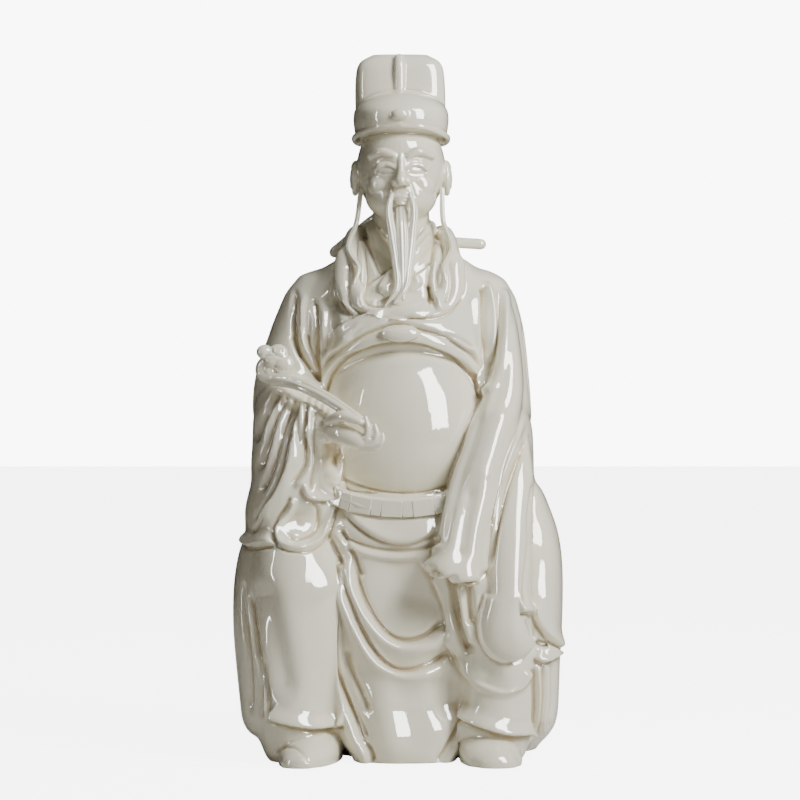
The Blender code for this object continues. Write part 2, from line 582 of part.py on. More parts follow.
def head_and_cap(clay):
    """Head, cap, collars, beard and strands."""
    for form in (SKULL, JAW, LIPS, CHIN, CAP_JEWEL, *EARS, *EYES, *NOSTRILS):
        ball(clay, form)
    limb(clay, COLLAR, facing="outwards", slices=BAND_RINGS)
    for rows in INNER_COLLARS:
        limb(clay, rows, facing="outwards")
    for rows in BEARD + SIDE_STRANDS:
        limb(clay, rows, slices=STRAND_RINGS, sides=STRAND_SIDES)
    for sections in (CAP_DOME, CAP_CROWN):
        stack(clay, sections)
    for rows in (NECK, NOSE, CAP_RIB, LEFT_WING, RIGHT_WING):
        limb(clay, rows)


def sceptre_and_hand(clay):
    """The sceptre and the hand that holds it."""
    for rows in (SCEPTRE_HANDLE, SCEPTRE_STEM):
        limb(clay, rows)
    for form in SCEPTRE_LOBES:
        ball(clay, form)
    for rows in (WRIST, PALM, THUMB):
        limb(clay, rows, facing=(0, 0, 1))
    for finger in range(FINGERS):
        x, y, z = (base + finger * step for base, step in zip(FINGER_BASE, FINGER_STEP))
        bends = ((0, 0), (FINGER_REACH / 2, 0), (FINGER_REACH, FINGER_LIFT * finger))
        rows = [(x + reach, y, z + lift, FINGER_RADIUS, FINGER_RADIUS) for reach, lift in bends]
        limb(clay, rows, facing=(0, 0, 1))


def shoes(clay):
    """The two shoes under the hem."""
    for rows in SHOES:
        limb(clay, rows, facing=(0, 0, 1))


def evaluated(obj):
    """The object's mesh with its modifiers carried out."""
    return bpy.data.meshes.new_from_object(obj.evaluated_get(bpy.context.evaluated_depsgraph_get()))


def reworked(mesh, modifiers):
    """The mesh after the named modifiers, each with its settings."""
    lump = bpy.data.objects.new("clay", mesh)
    bpy.context.scene.collection.objects.link(lump)
    for kind, settings in modifiers:
        modifier = lump.modifiers.new(kind, kind)
        for name, value in settings.items():
            setattr(modifier, name, value)
    result = evaluated(lump)
    bpy.data.objects.remove(lump)
    return result


def softened(rounds):
    """A softening of so many rounds."""
    return "SMOOTH", {"factor": 0.5, "iterations": int(rounds)}


def fuse(clay, grain, softening):
    """One skin round everything in the clay, with its seams softened."""
    mesh = bpy.data.meshes.new("clay")
    bmesh.ops.recalc_face_normals(clay, faces=clay.faces)
    clay.to_mesh(mesh)
    clay.free()
    return reworked(mesh, [("REMESH", {"mode": "VOXEL", "voxel_size": grain}), softened(softening)])


def blocked_out_clay():
    """The whole figure in one skin: first its masses, well softened, then its finer forms."""
    clay = bmesh.new()
    robed_body(clay)
    body = fuse(clay, MASS_GRAIN, MASS_SOFTENING)
    clay = bmesh.new()
    clay.from_mesh(body)
    belly_and_falls(clay)
    head_and_cap(clay)
    sceptre_and_hand(clay)
    shoes(clay)
    return fuse(clay, FINE_GRAIN, FINE_SOFTENING)


def carve_all_sides(mesh):
    """The folds of the front, broad ones first, and those of the back and both sides."""
    carve(mesh, BROAD_FOLDS, faded=False)
    carve(mesh, FINE_FOLDS)
    carve(mesh, back_folds(), sign=1)
    for side in (-1, 1):
        carve(mesh, side_folds(), across=1, towards=0, sign=side)


def faceted(mesh):
    """The carved clay, a little softened, with few enough facets for a solid."""
    now = sum(len(face.vertices) - 2 for face in mesh.polygons)
    return reworked(mesh, [softened(CARVED_SOFTENING), ("DECIMATE", {"ratio": FACETS / now})])


def stood_on_its_base(mesh):
    """The solid cut flat at the ground, at its real size, with its origin under the middle of its box."""
    solid = bmesh.new()
    solid.from_mesh(mesh)
    everything = solid.verts[:] + solid.edges[:] + solid.faces[:]
    bmesh.ops.bisect_plane(solid, geom=everything, plane_co=(0, 0, 0), plane_no=(0, 0, 1), clear_inner=True)
    rim = [edge for edge in solid.edges if edge.is_boundary]
    bmesh.ops.triangle_fill(solid, edges=rim, use_beauty=True)
    bmesh.ops.recalc_face_normals(solid, faces=solid.faces)
    bmesh.ops.triangulate(solid, faces=solid.faces)
    places = np.array([vertex.co for vertex in solid.verts])
    middle = (places.min(axis=0) + places.max(axis=0)) / 2
    bmesh.ops.translate(solid, vec=(-middle[0], -middle[1], 0), verts=solid.verts)
    bmesh.ops.scale(solid, vec=[HEIGHT / DRAWN_HEIGHT] * 3, verts=solid.verts)
    solid.to_mesh(mesh)
    solid.free()
    mesh.shade_smooth()
    return mesh


def glazed_porcelain():
    """The ivory-white glaze."""
    material = bpy.data.materials.new("glazed_porcelain")
    material.use_nodes = True
    surface = material.node_tree.nodes["Principled BSDF"]
    surface.inputs["Base Color"].default_value = GLAZE_COLOUR
    surface.inputs["Roughness"].default_value = GLAZE_ROUGHNESS
    surface.inputs["Metallic"].default_value = 0.0
    return material


def main():
    """Model the figure from clay and leave it as one named object."""
    for obj in list(bpy.data.objects):
        bpy.data.objects.remove(obj)
    clay = blocked_out_clay()
    carve_all_sides(clay)
    mesh = stood_on_its_base(faceted(clay))
    mesh.materials.clear()
    mesh.materials.append(glazed_porcelain())
    figure = bpy.data.objects.new("seated_figure", mesh)
    bpy.context.scene.collection.objects.link(figure)


main()
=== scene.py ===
"""Builds the visible seated scholar deity: robes, head, beard, sceptre and belt in glazed porcelain."""

import math
from collections import namedtuple

import bmesh
import bpy
import numpy as np
from bpy.props import FloatProperty, FloatVectorProperty, IntProperty, PointerProperty
from mathutils import Matrix, Vector


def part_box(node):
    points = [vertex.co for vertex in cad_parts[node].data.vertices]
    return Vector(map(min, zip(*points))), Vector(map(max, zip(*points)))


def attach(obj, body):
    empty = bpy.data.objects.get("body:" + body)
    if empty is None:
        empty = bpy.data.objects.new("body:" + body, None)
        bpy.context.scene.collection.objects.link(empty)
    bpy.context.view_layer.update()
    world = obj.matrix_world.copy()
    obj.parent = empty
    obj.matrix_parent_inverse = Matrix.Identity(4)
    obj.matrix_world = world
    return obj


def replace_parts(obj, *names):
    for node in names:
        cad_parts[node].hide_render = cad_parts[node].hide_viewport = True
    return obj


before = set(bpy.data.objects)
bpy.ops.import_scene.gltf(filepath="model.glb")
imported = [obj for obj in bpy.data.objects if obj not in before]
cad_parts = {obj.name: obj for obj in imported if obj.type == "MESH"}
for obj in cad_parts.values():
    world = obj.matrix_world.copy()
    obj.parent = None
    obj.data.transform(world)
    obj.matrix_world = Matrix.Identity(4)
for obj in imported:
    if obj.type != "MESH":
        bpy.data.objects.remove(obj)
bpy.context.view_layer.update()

bl_info = {
    "name": "Porcelain Scholar Deity",
    "version": (1, 0, 0),
    "blender": (4, 5, 0),
    "location": "View3D > Sidebar > Porcelain",
    "description": "Models a seated scholar deity in ivory-white glazed porcelain",
    "category": "Object",
}

NODE = "seated_figure"
NODE_LOW, NODE_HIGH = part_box(NODE)

# The forms are drawn in units for a figure whose crown is this high, front towards -Y. One unit is
# a millimetre at the size of the frame. The drawing's own middle stands over the frame's origin.
CROWN_TOP = 349.2
UNIT = (NODE_HIGH[2] - NODE_LOW[2]) / CROWN_TOP
DRAWN_MIDDLE = (-0.6, -5.75)
PLACE = Matrix.Translation((-DRAWN_MIDDLE[0] * UNIT, -DRAWN_MIDDLE[1] * UNIT, 0)) @ Matrix.Scale(UNIT, 4)

# The folds are drawn as someone sees them who stands this far in front, at this eye height.
VIEW_DISTANCE = 1400.0
EYE_HEIGHT = 175.0

# The upright line that the collar and the belt go round: its place across and back.
BODY_AXIS = (0, 5)

# Grain of the clay at each stage, how often its seams are softened, and the most triangles of a piece.
MASS_GRAIN = 2.4
ROBE_GRAIN = 0.62
HEAD_GRAIN = 0.5
HAND_GRAIN = 0.42
MASS_SOFTENING = 6
FINE_SOFTENING = 4
GLAZE_SOFTENING = 6
THIN_GLAZE_SOFTENING = 1
SOFTENING_FACTOR = 0.5
ROBE_TRIANGLES = 190000
HEAD_TRIANGLES = 120000
HAND_TRIANGLES = 60000

# Rings and sides of each kind of form, and how a limb's round ends are stepped, in radians.
STACK_RINGS, STACK_SIDES = 48, 96
LIMB_RINGS, LIMB_SIDES = 32, 28
BAND_RINGS = 90
STRAND_RINGS, STRAND_SIDES = 90, 54
BALL_SIDES, BALL_RINGS = 48, 32
END_ANGLES = (0.6, 1.1, 1.4)

# Ways that the depth of a limb can run. Along a collar or a belt it runs outwards.
BACKWARDS = (0, 1, 0)
UPWARDS = (0, 0, 1)

# How a stroke is sampled: the step along it, the fewest samples, and the samples of an arc.
STROKE_STEP = 2.2
FEWEST_SAMPLES = 4
ARC_STEPS = 11

# How a fold is pressed in. Of an edge: where its lip starts and how wide its overhang is (in widths), how
# deep it is undercut and how far it hangs over (in depths). Of a roll: where it crests (as a share of its
# reach) and how deep its crease is (in depths). Then the steepness of a pit and of the other kinds, which
# facings take a fold, and how far it is felt: in reaches for edges and rolls, in widths for the others.
EDGE_START = 0.6
OVERHANG_WIDTH = 2
EDGE_UNDERCUT = 0.55
EDGE_OVERHANG = 0.12
ROLL_CREST = 0.38
ROLL_CREASE = 0.45
PIT_STEEPNESS = 4
BUMP_STEEPNESS = 2
FACING_RANGE = (0.02, 0.30)
LIFTED_REACH = 2.2
FOLD_REACH = 5

# Shares of a stroke over which a fold fades in at its start and out at its end, or none if it ends round.
FADED = (0.14, 0.14)
SHARP_START = (0.02, 0.14)
SHARP_END = (0.14, 0.02)
SHARP_ENDS = (0.02, 0.02)
LONG_END = (0.02, 0.4)
QUICK_START = (0.10, 0.14)
ROUND_ENDS = None

Fold = namedtuple("Fold", "kind depth width stroke fades reach", defaults=[FADED, 5.0])


def arc(centre, half_sizes, start, end):
    """Points of a stroke along an ellipse, with its angles in degrees."""
    turn = np.radians(np.linspace(start, end, ARC_STEPS))
    return np.stack([centre[0] + half_sizes[0] * np.cos(turn), centre[1] + half_sizes[1] * np.sin(turn)], 1)


def swag(start, low, end):
    """A hanging fold from its start, through its lowest point, to its end."""
    turn = np.radians(np.linspace(0, 90, ARC_STEPS))
    falls = [
        np.stack([
            low[0] - (low[0] - side[0]) * np.cos(turn),
            low[1] + (side[1] - low[1]) * (1 - np.sin(turn)),
        ], 1)
        for side in (start, end)
    ]
    return np.vstack([falls[0], falls[1][-2::-1]])


# Robes over seat and legs. Columns: height, left, right, front, back, squareness.
SKIRT = (
    (-8, -64, 66, -18, 52, 2.6),
    (0, -67, 69, -22, 55, 2.6),
    (9, -73, 76, -36, 58, 2.7),
    (18, -76, 79, -46, 59, 2.7),
    (40, -80, 80, -48, 61, 2.8),
    (74, -82, 81, -47, 61, 2.8),
    (100, -79, 79, -44, 60, 2.6),
    (116, -75, 75, -32, 58, 2.4),
    (126, -69, 70, -22, 55, 2.3),
    (138, -60, 60, -10, 50, 2.2),
)
CENTRE_PANEL = (
    (-8, -19, 24, -50, 0, 2.6),
    (3, -24, 28, -54, 0, 2.8),
    (14, -31, 31, -53, 0, 3.0),
    (40, -36, 33, -50, 0, 2.8),
    (80, -40, 36, -51, 0, 2.6),
    (106, -44, 42, -53, 0, 2.4),
    (120, -42, 42, -49, 0, 2.3),
    (130, -34, 34, -38, 0, 2.2),
)
TORSO = (
    (96, -72, 70, -42, 59, 2.3),
    (112, -69, 67, -40, 57, 2.3),
    (128, -64, 62, -32, 54, 2.3),
    (150, -58, 56, -26, 50, 2.3),
    (176, -53, 52, -25, 47, 2.3),
    (196, -51, 51, -31, 43, 2.3),
    (206, -50, 50, -36, 41, 2.3),
    (216, -50, 50, -34, 40, 2.3),
    (228, -49, 49, -28, 37, 2.2),
    (240, -40, 40, -23, 33, 2.2),
    (248, -28, 29, -17, 29, 2.1),
    (256, -18, 20, -10, 24, 2.0),
)
# Limbs. Columns: x, y, z, half width, half depth.
LEFT_SHIN = (
    (-51, -38, 12, 18, 20), (-52, -40, 40, 19, 21), (-53, -41, 80, 20, 21), (-51, -38, 100, 21, 21),
)
RIGHT_SHIN = ((46, -38, 12, 18, 20), (47, -40, 40, 18, 20), (48, -40, 80, 19, 20), (47, -38, 100, 20, 20))
LEFT_THIGH = ((-34, 22, 112, 24, 22), (-42, -10, 108, 24, 20), (-50, -38, 102, 20, 19))
RIGHT_THIGH = ((32, 22, 112, 24, 22), (40, -10, 108, 24, 20), (46, -38, 102, 20, 19))
LEFT_UPPER_ARM = (
    (-40, 6, 222, 19, 20), (-47, 5, 205, 19, 21), (-54, 0, 183, 19, 22), (-56, -6, 168, 18, 22),
)
LEFT_FOREARM = ((-55, -12, 164, 16, 17), (-46, -34, 163, 15, 15), (-36, -44, 160, 11, 12))
LEFT_SLEEVE = (
    (-54, -18, 167, 19, 26),
    (-50.5, -22, 148, 23, 30),
    (-50.5, -25, 132, 23, 29),
    (-55, -26, 116, 22, 26),
    (-59, -27, 104, 18, 22),
)
RIGHT_UPPER_ARM = ((40, 6, 222, 19, 20), (44, 5, 205, 19, 21), (47, 0, 183, 18, 22), (48, -6, 166, 18, 23))
RIGHT_FOREARM = (
    (48, -12, 160, 18, 24), (46, -24, 140, 20, 24), (43, -32, 118, 21, 22), (42, -36, 98, 19, 20),
)
# The right sleeve's falls, each in front of the next, over the belly and lap. Columns as the skirt.
RIGHT_SLEEVE_FRONT = (
    (230, 46, 54, -8, 10, 2.2),
    (214, 48, 58, -18, 10, 2.2),
    (199, 47, 60, -27, 5, 2.3),
    (184, 43.5, 61, -34, 0, 2.4),
    (172.6, 38, 60, -40, -5, 2.5),
    (163, 33, 58, -45, -5, 2.5),
    (151, 29, 54, -51, -10, 2.5),
    (139, 24.5, 50, -56, -15, 2.5),
    (122, 20, 45, -63, -20, 2.5),
    (110, 17.2, 42, -66, -25, 2.5),
    (99, 15, 40.5, -68, -30, 2.5),
    (94, 13.4, 40.5, -68, -30, 2.5),
    (90, 13.6, 40, -67, -30, 2.5),
)
FRONT_LOBE = (
    (166, 46, 62, -30, -10, 2.4),
    (150, 44, 64, -42, -20, 2.4),
    (136, 43, 65, -50, -30, 2.4),
    (124, 42, 64.5, -56, -30, 2.4),
    (112, 41, 64, -61, -30, 2.4),
    (97.5, 40, 63.5, -65, -30, 2.4),
    (86, 40, 63, -67.5, -30, 2.4),
    (79, 39.4, 63, -68.5, -30, 2.4),
    (72, 37.5, 63.5, -68.5, -30, 2.4),
    (65, 37, 64, -68, -30, 2.4),
    (58.5, 38.4, 64.5, -66.5, -30, 2.4),
    (53.5, 42, 62, -64, -30, 2.3),
    (50.4, 47, 58, -60, -30, 2.2),
)
OUTER_LOBE = (
    (95, 14.5, 42, -57, -20, 2.4),
    (91, 14.2, 52, -61, -20, 2.4),
    (87, 15, 60, -62, -20, 2.4),
    (77, 20.4, 64, -62.5, -20, 2.4),
    (67, 22, 65, -62.5, -20, 2.4),
    (58, 23.5, 66, -62.5, -20, 2.4),
    (49.6, 26.3, 66, -62, -20, 2.4),
    (41, 31.1, 64, -61, -20, 2.4),
    (35.5, 38, 60, -59, -20, 2.3),
    (32.5, 45, 56, -56, -20, 2.2),
)
RIGHT_SLEEVE_FALL = (
    (42, -40, 92, 18, 12), (45, -41, 70, 18, 12), (48, -41, 50, 18, 11), (50, -40, 42, 14, 8),
)
RIGHT_OUTER_PANEL = (
    (63, -16, 126, 9, 20), (67, -20, 104, 12, 24), (68, -24, 74, 12, 26), (66, -24, 20, 11, 24),
)
LEFT_OUTER_PANEL = (
    (-66, -16, 112, 9, 20), (-69, -20, 92, 12, 24), (-70, -24, 64, 12, 26), (-67, -24, 20, 11, 24),
)
# Rounded forms. Columns: centre x, y, z, then the three half sizes.
BELLY = (2, -8, 159, 44, 39, 51)
# Shoes. Columns as the limbs.
SHOES = (
    ((-40, -30, 5, 13, 14), (-43, -46, 4, 13.5, 12.5), (-47, -60, 2.5, 12, 8.5), (-49, -67, 2, 8.5, 5.5)),
    ((41, -30, 5, 13, 14), (43, -46, 4, 14.5, 12.5), (45.5, -60, 2.5, 13.5, 9), (46.5, -66, 2, 10, 6)),
)

# Rolled collar of the outer robe, round the neck and down to the breast. Columns as the limbs.
COLLAR = (
    (0, 27, 254, 5, 4),
    (-15, 20, 256, 6, 4),
    (-23, 5, 256, 6.5, 4),
    (-26, -9, 247, 6.5, 4),
    (-26, -18, 236, 6.5, 4),
    (-24, -24, 227, 6, 4),
    (-16, -29, 219, 5, 3.5),
    (0, -32, 217, 4.5, 3.5),
    (16, -29, 219, 5, 3.5),
    (24, -24, 226, 6, 4),
    (26, -18, 236, 6.5, 4),
    (26, -9, 247, 6.5, 4),
    (23, 5, 256, 6.5, 4),
    (15, 20, 256, 6, 4),
    (0, 27, 254, 5, 4),
)
INNER_COLLARS = (
    ((-15, 5, 261, 4.5, 2.5), (-11, -9, 253, 4.5, 2.5), (-3, -19, 243, 4.5, 2.5), (7, -27, 231, 4, 2)),
    ((16, 5, 261, 4.5, 2.5), (12, -10, 253, 4.5, 2.5), (4, -21, 242, 4.5, 2.5), (-7, -29, 229, 4, 2)),
)
BELT = (
    (-36, -38, 131, 4.5, 3),
    (-24, -45, 126, 4.7, 3),
    (-12, -47, 123.5, 4.7, 3),
    (2, -47.5, 122.5, 4.7, 3),
    (16, -46, 124, 4.7, 3),
    (30, -41, 128, 4.5, 3),
)
# Belt plaques, wide and narrow by turns: how far apart, how long, how high and how thick they are, how far
# the middle of each stands out from the belt's own line, how they are rounded, and samples of that line.
PLAQUE_STEP = 7.6
PLAQUE_LENGTHS = (10.4, 4.6)
PLAQUE_HEIGHT = 8.0
PLAQUE_THICKNESS = 2.6
PLAQUE_OUT = 2.9
PLAQUE_SMOOTHINGS = 4
PLAQUE_CREASE = 0.72
BELT_SAMPLES = 200
# The knot on the breast, as the rounded forms, and the neck, as the limbs.
BREAST_KNOT = (0, -37.5, 208.5, 9.5, 2.8, 3.2)
NECK = ((0.5, 7, 240, 15, 15), (0.5, 5, 258, 14.5, 14.5), (0.5, 4, 276, 14, 14))

# Head. Columns as the rounded forms, and as the limbs for what follows a path.
SKULL = (0.5, 3, 291, 22.3, 24, 26)
JAW = (0.5, -5, 277, 18, 16, 13.5)
CHEEKS = ((-8.5, -11.5, 281, 8, 7, 7), (9.5, -11.5, 281, 8, 7, 7))
CHIN = (0.5, -16.5, 267, 5.5, 4, 4)
BROWS = (
    ((-15, -14.5, 295.5, 1.5, 2), (-9, -18.8, 297.5, 2, 2.4), (-3, -19.8, 295.5, 1.6, 2)),
    ((16, -14.5, 295.5, 1.5, 2), (10, -18.8, 297.5, 2, 2.4), (4, -19.8, 295.5, 1.6, 2)),
)
EYES = ((-8, -15.8, 290.5, 4.6, 3.6, 3.2), (9, -15.8, 290.5, 4.6, 3.6, 3.2))
NOSE = ((0.5, -19, 296, 1.7, 1.8), (0.5, -22.4, 287, 2.0, 2.2), (0.5, -24.4, 282.8, 2.8, 2.6))
NOSTRILS = ((-2.6, -22, 281.8, 1.9, 2.4, 1.8), (3.6, -22, 281.8, 1.9, 2.4, 1.8))
LIPS = (
    ((-5.2, -18.8, 274.3, 0.9, 1.2), (-1.8, -21.2, 275.3, 1.1, 1.4), (0.5, -21.6, 274.9, 1.1, 1.4),
     (2.8, -21.2, 275.3, 1.1, 1.4), (6.2, -18.8, 274.3, 0.9, 1.2)),
    ((-4.2, -18.8, 273.6, 0.9, 1.2), (0.5, -21.3, 272.3, 1.5, 1.5), (5.2, -18.8, 273.6, 0.9, 1.2)),
)
EARS = ((-22.5, 2, 286, 2.8, 6, 9), (23.5, 2, 286, 2.8, 6, 9))
CAP_DOME = (
    (306.5, -21.6, 22.6, -10, 27, 2.2),
    (309.5, -22.8, 23.8, -21.6, 28, 2.2),
    (316, -23.4, 24.4, -23.6, 28, 2.2),
    (321, -22.2, 23.2, -21, 27, 2.2),
    (326, -17.5, 18.5, -15, 26, 2.1),
    (329.5, -10, 11, -7, 22, 2.0),
)
CAP_RIM = (
    (0.5, -22.4, 310.4, 1.5, 1.3),
    (12.5, -18.6, 309.6, 1.5, 1.3),
    (21.5, -8.5, 307.2, 1.5, 1.3),
    (24, 4, 305.5, 1.5, 1.3),
    (19.5, 20, 304.5, 1.5, 1.3),
    (0.5, 28, 304, 1.5, 1.3),
    (-18.5, 20, 304.5, 1.5, 1.3),
    (-23, 4, 305.5, 1.5, 1.3),
    (-20.5, -8.5, 307.2, 1.5, 1.3),
    (-11.5, -18.6, 309.6, 1.5, 1.3),
    (0.5, -22.4, 310.4, 1.5, 1.3),
)
CAP_CROWN = (
    (304, -21, 22, 4, 27, 3.0),
    (320, -22.5, 23, 3, 27, 3.4),
    (337, -22.5, 22.5, 4, 26, 3.6),
    (345, -20.5, 20.5, 6, 24, 3.4),
    (349.2, -14, 14, 10, 20, 3.0),
)
CAP_RIB = ((-0.3, 4, 328, 2.6, 1.8), (-0.3, 3.4, 340, 2.6, 1.8), (-0.3, 6, 347.4, 2.4, 1.6))
CAP_JEWEL = (0, -24.2, 315.5, 4.2, 2.2, 2.6)
LEFT_WING = ((-4, 12, 272, 3, 3), (-16, 18, 264, 3, 3), (-33, 20, 250, 3, 3))
RIGHT_WING = ((6, 12, 259, 2.8, 2.8), (22, 19, 255.5, 2.8, 2.8), (41, 20, 254, 2.8, 2.8))
HAIR_BEHIND = (0.5, 7, 285, 19.5, 21, 22)

# Beard and side strands. Columns as the limbs. Then how many hairs show round a strand of each, how deep
# the furrows between them are (as a share of the strand), and how narrow.
BEARD = (
    ((-4, -21.5, 276.5, 1.0, 1.0), (-5.5, -24, 268, 1.9, 1.6), (-3.8, -25.5, 256, 2.3, 1.9),
     (-1.8, -29, 242, 2.2, 1.8), (-1.2, -34.5, 230, 1.8, 1.5), (-7, -36, 221, 0.4, 0.5)),
    ((0.5, -19, 269, 3.2, 2.2), (1, -24.5, 258, 3.4, 2.6), (1.5, -29.5, 242, 2.8, 2.2),
     (1.6, -36.5, 224, 0.9, 0.9)),
    ((5, -21.5, 276.5, 1.0, 1.0), (7, -24, 268, 1.9, 1.6), (6.2, -25.5, 256, 2.3, 1.9),
     (4.6, -29, 242, 2.2, 1.8), (2.8, -34.5, 230, 1.8, 1.5), (-2.5, -37, 222.5, 0.7, 0.8)),
)
SIDE_STRANDS = (
    ((-19.5, -4, 280, 1.4, 1.3), (-21.5, -7, 264, 1.4, 1.4), (-25.5, -17, 250, 1.4, 1.4),
     (-20.5, -25.5, 240, 1.4, 1.4), (-22.5, -30, 232, 0.5, 0.6)),
    ((21, -4, 280, 1.4, 1.3), (21.5, -7, 264, 1.4, 1.4), (25.5, -17, 250, 1.4, 1.4),
     (21.5, -25.5, 240, 1.4, 1.4), (22.5, -30, 233, 0.5, 0.6)),
)
BEARD_HAIRS = 9
STRAND_HAIRS = 6
HAIR_DEPTH = 0.13
HAIR_NARROWNESS = 3

# Sceptre: a flat handle from the fist to the shoulder, and a cloud head of flat lobes that run together.
SCEPTRE_HANDLE = (
    (-14.5, -63, 161.8, 1.9, 2.0),
    (-20, -61.5, 166, 2.4, 2.4),
    (-26.1, -59, 170, 2.7, 2.7),
    (-35, -54, 175.7, 3.0, 2.9),
    (-45.2, -49, 181.1, 3.1, 3.0),
    (-53.2, -44, 183.8, 3.2, 3.0),
    (-62, -38.5, 185.2, 3.4, 3.0),
)
SCEPTRE_STEM = ((-60, -39, 185.4, 3.5, 3.1), (-66, -37, 187.4, 3.7, 3.0), (-66.6, -37, 191.6, 3.5, 2.8),
                (-62.5, -38.5, 195, 3.4, 2.6))
LOBE_TILT = -24
SCEPTRE_LOBES = (
    (-63.6, -38, 190.4, 3.6, 2.6, 4.0),
    (-65.9, -38.5, 198.4, 4.0, 2.6, 3.8),
    (-59.3, -39, 198, 4.9, 2.6, 4.5),
    (-56.6, -40.5, 193.2, 5.1, 2.6, 4.2),
    (-61.5, -39.6, 194.8, 4.8, 2.6, 4.2),
    (-60.8, -39.4, 196.3, 5.6, 2.6, 4.2),
)
LOBE_CURLS = (
    Fold("groove", 0.55, 0.55, ((-64.4, 201.6), (-63.8, 198.8), (-61.6, 197.0), (-58.4, 196.2),
         (-55.4, 197.4))),
    Fold("groove", 0.45, 0.5, ((-68.6, 196.6), (-65.4, 197.2), (-62.6, 196.8))),
    Fold("groove", 0.4, 0.5, arc((-60.4, 199.4), (2.0, 1.5), -30, 210)),
)
HANDLE_GROOVES = (
    Fold("groove", 0.55, 0.5, ((-63, 186.4), (-54.5, 185.2), (-46, 182.4), (-36, 177.2), (-27, 171.2),
         (-21, 167))),
    Fold("groove", 0.5, 0.5, ((-62, 184), (-54.5, 182.8), (-47, 180), (-37, 174.6), (-28, 168.6))),
)
# Hand closed round the handle. Columns as the limbs.
WRIST = ((-42, -44, 160.5, 8, 8), (-36, -49, 160, 6.6, 6.4), (-30, -54, 160, 5.8, 5.4))
PALM = (
    (-32, -54, 160, 5.6, 5.6), (-26, -58, 158, 5.6, 5.0), (-20, -61, 155.6, 4.4, 4.2),
    (-16, -62, 154.6, 2.8, 3.0),
)
THUMB = ((-34, -56, 165, 3.0, 2.8), (-28, -61, 167, 3.0, 2.8), (-22.5, -64, 166, 2.5, 2.2),
         (-18.8, -65.4, 164.6, 1.6, 1.6))
FINGERS = (
    ((-19, -62, 156.5, 2.2, 2.2), (-16, -64, 157.5, 1.9, 1.9), (-15.4, -65, 162, 1.7, 1.7),
     (-16.4, -65, 166.5, 1.1, 1.1)),
    ((-18, -62.5, 155, 2.2, 2.2), (-12.8, -64, 155.4, 1.8, 1.8), (-11.2, -65, 159, 1.5, 1.5),
     (-12, -65, 163, 1.0, 1.0)),
    ((-18, -62.5, 153.6, 2.1, 2.1), (-12, -64, 153.4, 1.7, 1.7), (-8.6, -65, 155.8, 1.4, 1.4),
     (-8.4, -65, 158.8, 0.9, 0.9)),
    ((-18, -62, 152.2, 2.0, 2.0), (-13, -62.5, 151.6, 1.6, 1.6), (-9.6, -63, 152.8, 1.1, 1.1)),
)

# Folds as seen from the front: across and up, in units. A groove sinks, a ridge stands, a pit sinks
# straight in with steep walls, an edge lifts the cloth on the left of its stroke, and a roll swells
# there behind a crease. Broad forms come first.
BROAD_FOLDS = (
    Fold("groove", 2.6, 14, ((-2, 90), (4, 78)), ROUND_ENDS),
    Fold("groove", 3.4, 8, ((21, 44), (25, 24)), ROUND_ENDS),
    Fold("ridge", 4.0, 9, ((-9, 26), (-5, 6)), ROUND_ENDS),
    Fold("groove", 3.0, 7, ((-68, 76), (-58, 34)), ROUND_ENDS),
    Fold("groove", 2.6, 5, ((35, 128), (31, 100)), ROUND_ENDS),
    Fold("ridge", 1.6, 5, ((50, 166), (42, 140)), ROUND_ENDS),
    Fold("groove", 3.2, 5, ((-35, 224), (-37, 200)), ROUND_ENDS),
    Fold("groove", 2.8, 5, ((36, 224), (38, 202)), ROUND_ENDS),
    Fold("groove", 3.6, 8, ((-50, 114), (-44, 110)), ROUND_ENDS),
    Fold("groove", 3.0, 6, ((33, 50), (44, 38)), ROUND_ENDS),
)
BREAST_FOLDS = (
    Fold("edge", 3.6, 0.8, ((-38.5, 177), (-34.5, 188.5), (-27.5, 196.5), (-20, 200.7), (-10, 203.6),
         (0, 204.5), (10, 203.8), (20, 200.7), (27.5, 196.5), (33.5, 191), (38, 184), (41, 176)),
         SHARP_ENDS, 6),
    Fold("edge", 2.6, 0.8, ((-39.5, 189), (-36, 194.5), (-30, 200.5), (-22.5, 206), (-13, 210.3),
         (0, 212.8), (13, 210.3), (22.5, 207), (30, 202.5), (36, 197), (41, 190)), FADED, 7),
    Fold("edge", 2.0, 0.8, ((-8, 219.5), (-14, 218.5), (-20.5, 216.5), (-28, 213), (-35, 207)), FADED, 5),
    Fold("groove", 1.6, 0.8, ((20, 208.5), (28, 206), (35, 201))),
    Fold("groove", 1.2, 0.8, ((-25, 205.5), (-17, 212), (-8, 215))),
    Fold("ridge", 1.2, 1.4, ((-30, 204), (-20, 211), (-10, 214.5), (4, 216))),
)
SHOULDER_FOLDS = (
    Fold("groove", 3.2, 1.3, ((-52, 232), (-53, 222), (-53.5, 215), (-52.5, 207), (-50, 199), (-45, 192),
         (-39, 183.5)), SHARP_END),
    Fold("groove", 3.2, 1.1, ((-43, 226), (-42, 215), (-41.5, 202), (-39.5, 186)), SHARP_END),
    Fold("groove", 2.4, 0.9, ((-46.5, 209), (-45.5, 202.5), (-43, 196), (-40, 188))),
    Fold("groove", 2.2, 0.9, ((-54.5, 208), (-52.5, 202.5), (-48.5, 196.5))),
    Fold("ridge", 2.4, 1.8, ((-48, 230), (-48.5, 214), (-48, 204), (-44, 194), (-40.5, 188))),
    Fold("ridge", 1.6, 1.4, ((-38, 222), (-38, 208), (-38, 194))),
    Fold("groove", 5.0, 1.0, ((41.5, 231), (42, 220), (42, 205), (41, 188)), LONG_END),
    Fold("ridge", 2.4, 1.5, ((42.5, 235), (45.5, 226), (46.5, 210), (45, 192))),
    Fold("ridge", 1.6, 1.6, ((52, 232), (53.2, 222), (53, 205), (50.5, 190), (45, 174), (39.5, 163))),
)
